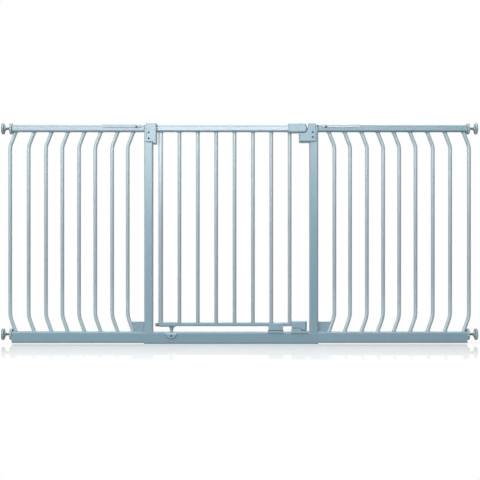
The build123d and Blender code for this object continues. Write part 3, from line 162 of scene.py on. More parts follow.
# Wall pad: places along X with radii, then a rib's outline as radii with places along X
PAD_STEPS = 72
PAD_SECTION = (
    (PAD_HUB_X, SPINDLE_RADIUS), (PAD_HUB_X, PAD_HUB_RADIUS - 0.0012),
    (PAD_HUB_X + 0.0004, PAD_HUB_RADIUS - 0.0004), (PAD_HUB_X + 0.0012, PAD_HUB_RADIUS),
    (PAD_X - 0.0008, PAD_HUB_RADIUS), (PAD_X, PAD_HUB_RADIUS + 0.0008),
    (PAD_X, 0.0168), (PAD_X + 0.0002, 0.0178), (PAD_X + 0.0001, 0.0188), (PAD_X + 0.0005, 0.0196),
    (PAD_X + 0.0014, PAD_RADIUS), (FACING_X - 0.0014, PAD_RADIUS), (FACING_X - 0.0004, 0.0197),
    (FACING_X, 0.0190), (FACING_X, SPINDLE_RADIUS),
)
RIB_HALF_WIDTH = 0.0006
RIB_OUTLINE = (
    (PAD_HUB_RADIUS - 0.0006, PAD_X + 0.0003), (PAD_HUB_RADIUS - 0.0006, PAD_X - 0.0036),
    (PAD_HUB_RADIUS + 0.0010, PAD_X - 0.0036), (0.0158, PAD_X - 0.0004), (0.0158, PAD_X + 0.0003),
)

# Pad rubber: its edges, the small flats in its middle, and a ring's section as shares of the
# ring's depth and width
FACING_EDGE = 0.0006
FACING_BACK_EDGE = 0.0004
FACING_BACK_MIDDLE = 0.0005
FACING_MIDDLE = 0.0003
RING_DEPTH = 0.0006
RING_SECTION = ((0, 0.42), (1, 0.54), (1, 0.84), (0, 0.96))

# Painted light: how much paler the round bars are painted at the top and at the foot, standing in
# for lamp light falling there, and the heights where that starts and is full
PAINTED_LIGHT_BARS = {
    "left_bars": (0.2, 0.22),
    "right_bars": (0.2, 0.22),
    "door_bars": (0.2, 0),
    "hinge_stile": (0.7, 0),
}
PAINTED_LIGHT_TOP = (0.4, 0.7)
PAINTED_LIGHT_FOOT = (0.22, 0.12)

# Wear along edges: samples taken, and how far the surface turns where it starts and is full
EDGE_SAMPLES = 6
EDGE_TURN = (0.02, 0.3)

# Gloss of the pieces whose coat or moulding is brighter or duller than the rest
PLAIN_SHEEN = 0.75
SHEEN_OF_NODE = {
    "door_top_rail": 1.0,
    "left_top_rail": 0.76,
    "left_joint_strap": 0.8,
    "right_top_rail": 0.36,
    "right_joint_strap": 1.0,
    "base_rail": 0.35,
    "left_base_rail": 0.4,
    "right_base_rail": 0.5,
    "latch_post": 0.48,
    "hinge_post": 0.78,
    "left_bars": 0.6,
    "right_bars": 0.6,
    "door_bars": 0.6,
    "hinge_stile": 0.6,
    "hinge_cover": 0.9,
    "handle_front": 0.68,
    "handle_back": 0.68,
    "latch_receiver": 0.56,
}

# Stage: each softbox's place, the point it shines at, and its width and height, in metres
SOFTBOXES = {
    "front": ((-0.1, -3.6, 1.3), (-0.1, 0, 0.6), (3.8, 0.8)),
    "left": ((-3.6, -2.5, 1.4), (0, 0, 0.45), (3.2, 2.6)),
    "top": ((-0.2, -1.5, 2.75), (-0.2, -1.5, 0), (3.6, 4.6)),
    "rear": ((0.3, 3.2, 2.2), (0, 0, 0.4), (3.2, 1.4)),
}
SENSOR_WIDTH = 36
CAMERA_REACH = 60
SEEN_RAYS = ("Is Camera Ray", "Is Transmission Ray", "Is Glossy Ray")
# How much of the white ground the gloss shows on each side
WHITE_LEFT = 0.8
WHITE_RIGHT = 0.4
WHITE_REAR = 0.45

# Floor: how much it shows of the lamps' light, its own white, and what it sends back to the gate
FLOOR_REACH = 9
FLOOR_SQUARES = 8
FLOOR_SHADE = 0.16
FLOOR_GLOW = 0.745
FLOOR_BOUNCE = 0.12
FLOOR_ROUGHNESS = 0.02
# Where it turns plain white: distances behind or in front of the gate, and along it
FLOOR_DEPTH = (1.2, 0.5)
FLOOR_LENGTH = (1.9, 1.2)
# Where it mirrors: in front of the gate, along its length, in grazing views, less at its foot
MIRROR_START = (0, 0.01)
MIRROR_STOP = (0.47, 0.39)
MIRROR_LENGTH = (0.88, 0.83)
MIRROR_GRAZING = (0.6, 0.86)
MIRROR_FOOT = (0.03, 0.06)
MIRROR_FOOT_SHARE = 0.75


def tone(red, green, blue):
    """Linear colour from the 0 to 255 values of a colour chart."""
    shares = [value / 255 for value in (red, green, blue)]
    return tuple(s / 12.92 if s <= 0.04045 else ((s + 0.055) / 1.055) ** 2.4 for s in shares)


class GateFinishes(PropertyGroup):
    """Colours and surface marks of the gate's finishes."""

    paint: FloatVectorProperty(
        name="Powder coat", description="Colour of the coated steel tubes",
        subtype="COLOR", min=0, max=1, default=tone(104, 130, 142),
    )
    # The bars' coat, painted lighter and greyer than the tubes' as painted sheen from the lamps
    bar_paint: FloatVectorProperty(
        name="Bars", description="Colour of the coat on the round bars",
        subtype="COLOR", min=0, max=1, default=tone(126, 142, 148),
    )
    housing: FloatVectorProperty(
        name="Housings", description="Colour of the moulded covers, handle and base fittings",
        subtype="COLOR", min=0, max=1, default=tone(109, 136, 148),
    )
    adjuster: FloatVectorProperty(
        name="Adjusters", description="Colour of the hand wheels, wall pads and rail plugs",
        subtype="COLOR", min=0, max=1, default=tone(126, 142, 146),
    )
    rubber: FloatVectorProperty(
        name="Pad rubber", description="Colour of the rubber that touches the wall",
        subtype="COLOR", min=0, max=1, default=tone(104, 116, 120),
    )
    zinc: FloatVectorProperty(
        name="Zinc plate", description="Colour of the plated spindles, pin, bolt and hinge arm",
        subtype="COLOR", min=0, max=1, default=tone(132, 142, 146),
    )
    screw: FloatVectorProperty(
        name="Screws", description="Colour of the blackened screws",
        subtype="COLOR", min=0, max=1, default=tone(28, 44, 52),
    )
    black: FloatVectorProperty(
        name="Black plastic", description="Colour of the pivot block and the bottom rail's cap",
        subtype="COLOR", min=0, max=1, default=tone(66, 82, 88),
    )
    peel: FloatProperty(
        name="Orange peel", description="Depth of the powder coat's fine ripple",
        default=0.00003, min=0, max=0.001, precision=5, unit="LENGTH",
    )
    edge_reach: FloatProperty(
        name="Edge reach", description="Width of the thinner, paler coat along an edge",
        default=0.0012, min=0, max=0.01, unit="LENGTH",
    )


class GateFittings(PropertyGroup):
    """Sizes of the small shapes on the gate's fittings."""

    bead: FloatProperty(
        name="Weld bead", description="Radius of the weld round the end of a bar",
        default=0.0020, min=0.0002, max=0.004, unit="LENGTH",
    )
    soft_edge: FloatProperty(
        name="Moulded edge", description="Rounding of the moulded pieces' sharp edges",
        default=0.0006, min=0.0001, max=0.003, unit="LENGTH",
    )
    pitch: FloatProperty(
        name="Thread pitch", description="Travel of a wall pad in one turn of its hand wheel",
        default=0.002, min=0.0005, max=0.004, unit="LENGTH",
    )
    thread: FloatProperty(
        name="Thread depth", description="Depth of the spindle's thread",
        default=0.0007, min=0.0001, max=0.002, unit="LENGTH",
    )
    grips: IntProperty(
        name="Wheel grips", description="Finger hollows round a hand wheel",
        default=14, min=3, max=40,
    )
    ribs: IntProperty(
        name="Pad ribs", description="Ribs behind a wall pad",
        default=8, min=0, max=16,
    )
    rings: IntProperty(
        name="Facing rings", description="Raised rings on the pad rubber",
        default=5, min=1, max=12,
    )
    ridges: IntProperty(
        name="Button ridges", description="Grip ridges on the thumb button",
        default=4, min=0, max=8,
    )


class GateStage(PropertyGroup):
    """Camera, lamps and floor."""

    camera_place: FloatVectorProperty(
        name="Camera place", description="Where the camera stands, looking along Y",
        subtype="XYZ", unit="LENGTH", default=(0.0015, -3.1, 0.353),
    )
    lens: FloatProperty(
        name="Lens", description="Focal length of the camera",
        default=68.1, min=10, max=300, unit="CAMERA",
    )
    front_power: FloatProperty(
        name="Front softbox", description="Power of the large softbox in front",
        default=98, min=0, unit="POWER",
    )
    left_power: FloatProperty(
        name="Left softbox", description="Power of the tall softbox on the left",
        default=95, min=0, unit="POWER",
    )
    rear_power: FloatProperty(
        name="Rear softbox", description="Power of the softbox behind",
        default=85, min=0, unit="POWER",
    )
    top_power: FloatProperty(
        name="Top softbox", description="Power of the softbox overhead",
        default=160, min=0, unit="POWER",
    )
    fill: FloatProperty(
        name="Room fill", description="Strength of the even light from all round",
        default=0.2, min=0, max=2,
    )
    floor: FloatVectorProperty(
        name="Floor", description="Colour of the floor and the ground behind",
        subtype="COLOR", min=0, max=1, default=(1.0, 1.0, 1.0),
    )
    mirror: FloatProperty(
        name="Floor gloss", description="Share of the gate's reflection in the floor beside it",
        default=0.515, min=0, max=1, subtype="FACTOR",
    )
    fade: FloatProperty(
        name="Reflection fade",
        description="Distance from the gate in which the reflection falls to about a third",
        default=0.385, min=0.01, max=5, unit="LENGTH",
    )


class Value:
    """A number that varies over a surface, written in ordinary arithmetic."""

    def __init__(self, finish, socket):
        self.finish = finish
        self.socket = socket

    def _with(self, operation, first, second):
        return self.finish.node("ShaderNodeMath", {"operation": operation}, {0: first, 1: second})

    def __add__(self, other):
        return self._with("ADD", self, other)

    def __radd__(self, other):
        return self._with("ADD", other, self)

    def __sub__(self, other):
        return self._with("SUBTRACT", self, other)

    def __rsub__(self, other):
        return self._with("SUBTRACT", other, self)

    def __mul__(self, other):
        return self._with("MULTIPLY", self, other)

    def __rmul__(self, other):
        return self._with("MULTIPLY", other, self)

    def __truediv__(self, other):
        return self._with("DIVIDE", self, other)

    def __rtruediv__(self, other):
        return self._with("DIVIDE", other, self)

    def __abs__(self):
        return self.finish.node("ShaderNodeMath", {"operation": "ABSOLUTE"}, {0: self})

    def clipped(self, low, high):
        """This number mapped so that low becomes 0 and high becomes 1, and held between them."""
        sockets = {"Value": self, "From Min": low, "From Max": high}
        return self.finish.node("ShaderNodeMapRange", {"clamp": True}, sockets)


class Finish:
    """Node tree of a material or of the world."""

    # A Mix node has its colour sockets after those for numbers and vectors
    MIX_SHARE, MIX_FIRST, MIX_SECOND, MIX_RESULT = 0, 6, 7, 2

    def __init__(self, owner):
        self.owner = owner
        owner.use_nodes = True
        self.tree = owner.node_tree
        self.tree.nodes.clear()

    def node(self, kind, settings=None, sockets=None, output=0):
        """Add a node, set it up, fill its sockets, and give back one output or a few by name."""
        made = self.tree.nodes.new(kind)
        for key, value in (settings or {}).items():
            setattr(made, key, value)
        for key, value in (sockets or {}).items():
            if isinstance(value, Value):
                self.tree.links.new(value.socket, made.inputs[key])
            else:
                made.inputs[key].default_value = value
        if isinstance(output, tuple):
            return [Value(self, made.outputs[name]) for name in output]
        return Value(self, made.outputs[output]) if made.outputs else None

    def place(self):
        """Point on the piece, in metres."""
        return self.node("ShaderNodeTexCoord", output="Object")

    def noise(self, scale, detail=2.0, roughness=0.5, stretch=None):
        """Cloudy pattern with a given number of patches to a metre, from 0 to 1."""
        place = self.place()
        if stretch:
            sockets = {0: place, 1: stretch}
            place = self.node("ShaderNodeVectorMath", {"operation": "MULTIPLY"}, sockets)
        sockets = {"Vector": place, "Scale": scale, "Detail": detail, "Roughness": roughness}
        return self.node("ShaderNodeTexNoise", None, sockets)

    def cells(self, scale):
        """Distance to the middle of the nearest cell, with a given number of cells to a metre."""
        sockets = {"Vector": self.place(), "Scale": scale}
        return self.node("ShaderNodeTexVoronoi", None, sockets)

    def mix(self, share, first, second):
        """Colour between two others."""
        sockets = {self.MIX_SHARE: share}
        for index, colour in ((self.MIX_FIRST, first), (self.MIX_SECOND, second)):
            sockets[index] = colour if isinstance(colour, Value) else (*colour, 1)
        return self.node("ShaderNodeMix", {"data_type": "RGBA"}, sockets, self.MIX_RESULT)

    def edges(self, reach):
        """1 along the piece's outer edges and 0 away from them."""
        rounded = self.node("ShaderNodeBevel", {"samples": EDGE_SAMPLES}, {"Radius": reach})
        flat = self.node("ShaderNodeNewGeometry", output="Normal")
        sockets = {0: rounded, 1: flat}
        alike = self.node("ShaderNodeVectorMath", {"operation": "DOT_PRODUCT"}, sockets, "Value")
        return (1 - alike).clipped(*EDGE_TURN)

    def bump(self, height, distance, strength):
        """Relief from a height between 0 and 1."""
        sockets = {"Strength": strength, "Distance": distance, "Height": height}
        return self.node("ShaderNodeBump", None, sockets)

    def surface(self, **sockets):
        """Close the material with one principled shader."""
        named = {key.replace("_", " "): value for key, value in sockets.items()}
        self.close(self.node("ShaderNodeBsdfPrincipled", None, named))
        return self.owner

    def close(self, shader, output="ShaderNodeOutputMaterial"):
        """Send a shader to the output."""
        self.node(output, None, {"Surface": shader})


def scaled(colour, share):
    """Colour made lighter or darker."""
    return tuple(min(1, channel * share) for channel in colour)


def powder_coat(name, colour, marks, sheen, paler=None):
    """Baked powder coat on steel: fine ripple, slow drifts of tone, paler thin edges; bars get
    painted light at top and foot.
    """
    coat = Finish(bpy.data.materials.new(name))
    drift = coat.noise(scale=5, detail=3, roughness=0.55)
    speck = coat.noise(scale=1500, detail=1)
    edge = coat.edges(marks.edge_reach)
    body = coat.mix(drift, scaled(colour, 0.975), scaled(colour, 1.025))
    if paler:
        top, foot = paler
        # Painted light: the colour turns paler towards the top and the foot, standing in for lamp
        # light there
        height = coat.node("ShaderNodeSeparateXYZ", None, {0: coat.place()}, output="Z")
        ends = height.clipped(*PAINTED_LIGHT_TOP) * top + height.clipped(*PAINTED_LIGHT_FOOT) * foot
        body = coat.mix(ends, body, scaled(colour, 2))
    body = coat.mix(speck.clipped(0.62, 0.8) * 0.25, body, scaled(colour, 1.3))
    body = coat.mix(edge * 0.25, body, scaled(colour, 1.5))
    ripple = coat.noise(scale=420, detail=2, roughness=0.4) * 0.75 + speck * 0.25
    return coat.surface(
        Base_Color=body,
        Specular_IOR_Level=sheen,
        Coat_Weight=0.35 * sheen,
        Coat_Roughness=0.28,
        Roughness=0.26 + drift * 0.05 + speck * 0.04 - edge * 0.04,
        Normal=coat.bump(ripple, distance=marks.peel, strength=0.3),
    )


def moulded(name, colour, marks, sheen, grain=900, roughness=0.28):
    """Moulded plastic: an even spark-eroded grain, faint flow marks, worn shine along edges."""
    plastic = Finish(bpy.data.materials.new(name))
    flow = plastic.noise(scale=14, detail=3, roughness=0.6, stretch=(1.0, 1.0, 0.35))
    pits = plastic.cells(grain)
    edge = plastic.edges(marks.edge_reach)
    body = plastic.mix(flow, scaled(colour, 0.97), scaled(colour, 1.03))
    body = plastic.mix(edge * 0.3, body, scaled(colour, 1.45))
    return plastic.surface(
        Base_Color=body,
        Specular_IOR_Level=sheen,
        Roughness=roughness + flow * 0.05 + pits * 0.05 - edge * 0.06,
        Normal=plastic.bump(pits, distance=0.00008, strength=0.5),
    )


def pad_rubber(name, marks):
    """Soft rubber: dull, dusty in patches, with a fine tooth."""
    rubber = Finish(bpy.data.materials.new(name))
    dust = rubber.noise(scale=45, detail=4, roughness=0.6)
    tooth = rubber.noise(scale=1800, detail=2)
    clean, dusty = scaled(marks.rubber, 0.9), scaled(marks.rubber, 1.25)
    return rubber.surface(
        Base_Color=rubber.mix(dust.clipped(0.4, 0.75), clean, dusty),
        Roughness=0.72 + dust * 0.15,
        Normal=rubber.bump(tooth, distance=0.00012, strength=0.6),
    )


def zinc_plate(name, marks):
    """Bright zinc plate: drawn lines along the part, cloudy passivation, rubbed edges."""
    zinc = Finish(bpy.data.materials.new(name))
    cloud = zinc.noise(scale=60, detail=3, roughness=0.6)
    drawn = zinc.noise(scale=900, detail=2, roughness=0.5, stretch=(0.04, 1.0, 1.0))
    edge = zinc.edges(marks.edge_reach)
    body = zinc.mix(cloud, scaled(marks.zinc, 0.82), marks.zinc)
    body = zinc.mix(edge * 0.5, body, scaled(marks.zinc, 1.2))
    return zinc.surface(
        Base_Color=body,
        Metallic=1.0,
        Roughness=0.3 + cloud * 0.12 + drawn * 0.12 - edge * 0.08,
        Normal=zinc.bump(drawn, distance=0.00002, strength=0.4),
    )


def black_screw(name, marks):
    """Blackened steel screw, rubbed bright where the driver and the edges have worn."""
    screw = Finish(bpy.data.materials.new(name))
    rub = screw.noise(scale=500, detail=3, roughness=0.6)
    edge = screw.edges(marks.edge_reach * 0.4)
    worn = edge * (0.1 + 0.3 * rub)
    return screw.surface(
        Base_Color=screw.mix(worn, marks.screw, scaled(marks.zinc, 0.7)),
        Metallic=worn * 0.6,
        Specular_IOR_Level=0.3,
        Roughness=0.42 + rub * 0.2,
        Normal=screw.bump(rub, distance=0.00003, strength=0.4),
    )


FINISHES = {}


def finish_for(slot, sheen, paler=None):
    """Material of a slot with some gloss, made when it is first asked for."""
    if (slot, sheen, paler) not in FINISHES:
        marks = bpy.context.scene.gate_finishes
        makers = {
            "grey_paint": lambda: powder_coat(slot, marks.paint, marks, sheen),
            # The bars' paint carries painted sheen in its colour and painted light at the top and
            # foot
            "bar_paint": lambda: powder_coat(slot, marks.bar_paint, marks, sheen, paler),
            "grey_plastic": lambda: moulded(slot, marks.housing, marks, sheen),
            "adjuster_plastic": lambda: moulded(
                slot, marks.adjuster, marks, sheen, grain=700, roughness=0.36
            ),
            "pad_rubber": lambda: pad_rubber(slot, marks),
            "zinc_steel": lambda: zinc_plate(slot, marks),
            "dark_screws": lambda: black_screw(slot, marks),
            "black_plastic": lambda: moulded(
                slot, marks.black, marks, sheen, grain=1100, roughness=0.4
            ),
        }
        FINISHES[slot, sheen, paler] = makers[slot]()
    return FINISHES[slot, sheen, paler]


def sheen_of(node):
    """Gloss of a solid's finish."""
    return SHEEN_OF_NODE.get(node, PLAIN_SHEEN)


def coat_nodes(*names):
    """Give solids their finish and leave their shape as it is."""
    for name in names:
        # Round bars take a paint with painted sheen in its colour, and painted light at their top
        # and foot
        slot = "bar_paint" if name in PAINTED_LIGHT_BARS else SLOT_OF_NODE[name]
        NODES[name].data.materials[0] = finish_for(slot, sheen_of(name), PAINTED_LIGHT_BARS.get(name))


def add_object(name, data):
    """Put a camera, lamp or mesh into the scene."""
    added = bpy.data.objects.new(name, data)
    bpy.context.scene.collection.objects.link(added)
    return added


def add_piece(name, shape, slot, body, *stands_for, sharp=35, sheen=PLAIN_SHEEN, stretch=None):
    """Turn a finished shape into a piece that rides on a body, and hide the solids it stands for.

    Edges with more than the sharp angle, in degrees, stay crisp. Given a stretch, the piece keeps
    its place in the world and rides on no body; the body and points that it names are not used.
    """
    bmesh.ops.recalc_face_normals(shape, faces=shape.faces)
    mesh = bpy.data.meshes.new(name)
    shape.to_mesh(mesh)
    shape.free()
    mesh.polygons.foreach_set("use_smooth", [True] * len(mesh.polygons))
    mesh.set_sharp_from_angle(angle=math.radians(sharp))
    mesh.materials.append(finish_for(slot, sheen))
    piece = add_object(name, mesh)
    if stretch:
        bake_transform(piece)
    else:
        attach(piece, body)
    if stands_for:
        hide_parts(*stands_for)
    return piece


def softened(node, width):
    """Shape of a solid with its sharp edges rounded."""
    mesh = NODES[node].data.copy()
    if "custom_normal" in mesh.attributes:
        mesh.attributes.remove(mesh.attributes["custom_normal"])
    shape = bmesh.new()
    shape.from_mesh(mesh)
    bpy.data.meshes.remove(mesh)
    bmesh.ops.remove_doubles(shape, verts=shape.verts, dist=MERGE_DISTANCE)
    bmesh.ops.dissolve_limit(
        shape, angle_limit=FLAT_ANGLE, verts=shape.verts, edges=shape.edges, delimit=set()
    )
    sharp = [
        edge for edge in shape.edges if edge.is_manifold and edge.calc_face_angle(0) > SHARP_ANGLE
    ]
    bmesh.ops.bevel(
        shape, geom=sharp, offset=width, offset_type="OFFSET", segments=2, profile=0.5,
        affect="EDGES", clamp_overlap=True,
    )
    return shape


def flatten_shading(piece):
    """Shade flat faces flat up to their rounded edges."""
    modifier = piece.modifiers.new("flat_faces", "WEIGHTED_NORMAL")
    modifier.weight = FLAT_FACE_WEIGHT
    modifier.keep_sharp = True
    evaluated = piece.evaluated_get(bpy.context.evaluated_depsgraph_get())
    shaded = bpy.data.meshes.new_from_object(evaluated)
    piece.modifiers.clear()
    shaded.name = piece.name
    piece.data = shaded


def soften_nodes(width, *names):
    """Stand a softened copy in for each of these solids."""
    for name in names:
        piece = add_piece(
            f"{name}_soft", softened(name, width), SLOT_OF_NODE[name], BODY_OF_NODE[name], name,
            sharp=60, sheen=sheen_of(name),
        )
        flatten_shading(piece)


def angles(count):
    """Even steps round a circle."""
    return [TURN * step / count for step in range(count)]


def skin(shape, rings, closed=False):
    """Faces between rings of points, with flat ends unless the rings close on themselves."""
    loops = [[shape.verts.new(point) for point in ring] for ring in rings]
    pairs = list(zip(loops, loops[1:]))
    if closed:
        pairs.append((loops[-1], loops[0]))
    for first, second in pairs:
        count = len(first)
        for index in range(count):
            after = (index + 1) % count
            shape.faces.new((first[index], first[after], second[after], second[index]))
    if not closed:
        shape.faces.new(loops[0][::-1])
        shape.faces.new(loops[-1])


def rim_point(side, height, along, radius, angle):
    """Point round the axis of an adjuster."""
    return Vector((side * along, radius * math.cos(angle), height + radius * math.sin(angle)))


def turned(shape, section, side, height, closed=False):
    """Round shape about the axis of an adjuster, from places along X and radii."""
    rings = []
    for along, radius in section:
        rings.append([rim_point(side, height, along, radius, angle) for angle in angles(PAD_STEPS)])
    skin(shape, rings, closed)


def weld_ring(shape, centre, radius, bead, stretch=1.0):
    """Weld bead round the end of a bar, drawn out where the bar leans."""
    rings = []
    for angle in angles(WELD_STEPS):
        swell = bead * (1 + WELD_RIPPLE_SHARE * math.sin(WELD_RIPPLES * angle))
        ring = []
        for around in angles(BEAD_STEPS):
            reach = radius + swell * math.cos(around)
            offset = Vector((
                reach * math.cos(angle) * stretch, reach * math.sin(angle), swell * math.sin(around)
            ))
            ring.append(Vector(centre) + offset)
        rings.append(ring)
    skin(shape, rings, closed=True)


def bar_places(side):
    """X of an extension's upright bars."""
    places = [OUTER_BAR_X]
    for gap in BAR_GAPS[side]:
        places.append(places[-1] - gap)
    return [SIDES[side] * place for place in places]


class GATE_OT_tubes(Operator):
    """Powder coat on the rails, posts, plates and bars"""

    bl_idname = "gate.tubes"
    bl_label = "Coated tubes"

    def execute(self, context):
        coat_nodes(*[name for name, slot in SLOT_OF_NODE.items() if slot == "grey_paint"])
        return {"FINISHED"}


class GATE_OT_welds(Operator):
    """Weld beads at the ends of the bars"""

    bl_idname = "gate.welds"
    bl_label = "Weld beads"

    def execute(self, context):
        bead = context.scene.gate_fittings.bead
        top_stretch = 1 / math.cos(TOP_BEND_ANGLE)
        foot_stretch = 1 / math.cos(FOOT_BEND_ANGLE)
        for side, outward in SIDES.items():
            shape = bmesh.new()
            for x in bar_places(side):
                top = (x - outward * TOP_BEND_SHIFT, 0, RAIL_BOTTOM)
                foot = (x - outward * FOOT_BEND_SHIFT, 0, EXTENSION_BASE_TOP)
                weld_ring(shape, top, BAR_RADIUS, bead, top_stretch)
                weld_ring(shape, foot, BAR_RADIUS, bead, foot_stretch)
            add_piece(f"{side}_bar_welds", shape, "grey_paint", "frame")
        shape = bmesh.new()
        for index in range(DOOR_BAR_COUNT):
            x = DOOR_BAR_START_X + index * DOOR_BAR_GAP
            weld_ring(shape, (x, 0, RAIL_BOTTOM), BAR_RADIUS, bead)
            weld_ring(shape, (x, 0, DOOR_RAIL_TOP), BAR_RADIUS, bead)
        weld_ring(shape, (STILE_X, 0, RAIL_BOTTOM), STILE_RADIUS, bead)
        weld_ring(shape, (STILE_X, 0, STILE_FOOT), STILE_RADIUS, bead)
        add_piece("door_bar_welds", shape, "grey_paint", "door")
        return {"FINISHED"}


class GATE_OT_housings(Operator):
    """Hinge cover, latch receiver and handle with their moulded edges"""

    bl_idname = "gate.housings"
    bl_label = "Housings and handle"

    def execute(self, context):
        width = context.scene.gate_fittings.soft_edge
        soften_nodes(width, "hinge_cover", "latch_receiver", "handle_front", "handle_back")
        return {"FINISHED"}


class GATE_OT_base_fittings(Operator):
    """Swing stop, foot keeper, foot hook, lower pivot, caps and plugs"""

    bl_idname = "gate.base_fittings"
    bl_label = "Base fittings and plugs"

    def execute(self, context):
        width = context.scene.gate_fittings.soft_edge
        soften_nodes(width, "swing_stop", "foot_keeper", "foot_hook", "pivot_plate", "pivot_cone")
        soften_nodes(width, "bottom_rail_cap", "top_rail_plugs", "base_rail_plugs")
        coat_nodes("pivot_block", "hinge_plug")
        return {"FINISHED"}


def spring_shape(low, high):
    """Coil spring along X that fills a box."""
    radius = (high.z - low.z) / 2 - SPRING_WIRE_RADIUS
    height = (high.z + low.z) / 2
    length = high.x - low.x - 2 * SPRING_WIRE_RADIUS
    steps = SPRING_TURNS * SPRING_STEPS
    along = Vector((1, 0, 0))
    rings = []
    for step in range(steps + 1):
        angle = TURN * SPRING_TURNS * step / steps
        out = Vector((0, math.cos(angle), math.sin(angle)))
        x = low.x + SPRING_WIRE_RADIUS + length * step / steps
        centre = Vector((x, 0, height)) + out * radius
        rings.append([
            centre + (out * math.cos(around) + along * math.sin(around)) * SPRING_WIRE_RADIUS
            for around in angles(SPRING_WIRE_STEPS)
        ])
    shape = bmesh.new()
    skin(shape, rings)
    return shape


def button_shape(ridges):
    """Thumb button with grip ridges across its top."""
    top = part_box("release_button")[1].z
    shape = softened("release_button", FINE_EDGE)
    for index in range(ridges):
        x = BUTTON_X + (index - (ridges - 1) / 2) * RIDGE_GAP
        rings = []
        for y, share in RIDGE_SECTION:
            radius = RIDGE_RADIUS * share
            rings.append([
                Vector((x + radius * math.cos(angle), y, top + radius * math.sin(angle)))
                for angle in angles(RIDGE_STEPS)
            ])
        skin(shape, rings)
    return shape


class GATE_OT_latch(Operator):
    """Latch bolt, its spring and its ridged thumb button"""

    bl_idname = "gate.latch"
    bl_label = "Latch"

    def execute(self, context):
        coat_nodes("latch_bolt")
        low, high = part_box("bolt_spring")
        add_piece(
            "bolt_coil", spring_shape(low, high), "zinc_steel", "door", "bolt_spring",
            stretch=("latch", (low.x, 0, low.z), (high.x, 0, low.z)),
        )
        button = button_shape(context.scene.gate_fittings.ridges)
        add_piece("release_button_ridged", button, "grey_plastic", "latch", "release_button")
        return {"FINISHED"}


class GATE_OT_hinge_steel(Operator):
    """Hinge arm and upper pin"""

    bl_idname = "gate.hinge_steel"
    bl_label = "Hinge steel"

    def execute(self, context):
        soften_nodes(STEEL_EDGE, "hinge_arm", "upper_hinge_pin")
        return {"FINISHED"}


class GATE_OT_screws(Operator):
    """Blackened screws"""

    bl_idname = "gate.screws"
    bl_label = "Screws"

    def execute(self, context):
        soften_nodes(FINE_EDGE, "cover_screws", "base_screws", "strap_screws", "handle_screws")
        return {"FINISHED"}


def wheel_shape(side, height, grips):
    """Hand wheel with finger hollows, a sunk web and a hub."""
    rings = []
    for angle in angles(grips * GRIP_STEPS):
        dip = (0.5 + 0.5 * math.cos(grips * angle)) ** 2
        rim = WHEEL_RADIUS - GRIP_DEPTH * dip
        half = [*WHEEL_WEB, *((rim - inset, depth) for inset, depth in WHEEL_RIM)]
        section = half + [(radius, WHEEL_THICKNESS - depth) for radius, depth in reversed(half)]
        rings.append([
            rim_point(side, height, WHEEL_X + depth, radius, angle) for radius, depth in section
        ])
    shape = bmesh.new()
    skin(shape, rings, closed=True)
    return shape


def spindle_shape(side, height, sizes):
    """Threaded rod whose last stretch, inside the pad, is plain."""
    start = SPINDLE_START_X + CHAMFER_LENGTH
    stop = PAD_HUB_X - THREAD_RUN_OUT
    count = int((stop - start) / sizes.pitch * THREAD_STEPS)
    root = SPINDLE_RADIUS - sizes.thread
    inside = SPINDLE_RADIUS - SPINDLE_PLAY

    def plain(along, radius):
        return [rim_point(side, height, along, radius, angle) for angle in angles(THREAD_SIDES)]

    def threaded(along):
        points = []
        for index, angle in enumerate(angles(THREAD_SIDES)):
            phase = ((along - start) / sizes.pitch - index / THREAD_SIDES) % 1.0
            crest = THREAD_STEEPNESS * (1 - abs(2 * phase - 1)) - THREAD_ROOT_SHARE
            radius = root + sizes.thread * min(1.0, max(0.0, crest))
            points.append(rim_point(side, height, along, radius, angle))
        return points

    rings = [plain(SPINDLE_START_X, root - CHAMFER_DEPTH)]
    for index in range(count + 1):
        rings.append(threaded(start + index * sizes.pitch / THREAD_STEPS))
    rings += [plain(stop, root), plain(PAD_HUB_X, inside), plain(FACING_X, inside)]
    shape = bmesh.new()
    skin(shape, rings)
    return shape


def pad_shape(side, height, ribs):
    """Wall pad: a thin dished disc on a short hub, with ribs between them."""
    shape = bmesh.new()
    turned(shape, PAD_SECTION, side, height, closed=True)
    centre = Vector((0, 0, height))
    for index in range(ribs):
        angle = TURN * (index + 0.5) / ribs
        out = Vector((0, math.cos(angle), math.sin(angle)))
        across = Vector((0, -math.sin(angle), math.cos(angle)))
        rings = []
        for offset in (-RIB_HALF_WIDTH, RIB_HALF_WIDTH):
            rings.append([
                centre + out * radius + across * offset + Vector((side * along, 0, 0))
                for radius, along in RIB_OUTLINE
            ])
        skin(shape, rings)
    return shape


def facing_shape(side, height, rings):
    """Rubber disc with raised rings on the face that meets the wall."""
    flat = FACING_RADIUS - FACING_EDGE
    section = [
        (FACING_X, FACING_BACK_MIDDLE), (FACING_X, FACING_RADIUS - FACING_BACK_EDGE),
        (FACING_X + FACING_BACK_EDGE, FACING_RADIUS), (WALL_X - FACING_EDGE, FACING_RADIUS),
        (WALL_X, flat),
    ]
    width = flat / rings
    for index in range(rings):
        outer = flat - index * width
        section += [
            (WALL_X - RING_DEPTH * sunk, max(outer - share * width, FACING_MIDDLE))
            for sunk, share in RING_SECTION
        ]
    shape = bmesh.new()
    turned(shape, section, side, height)
    return shape


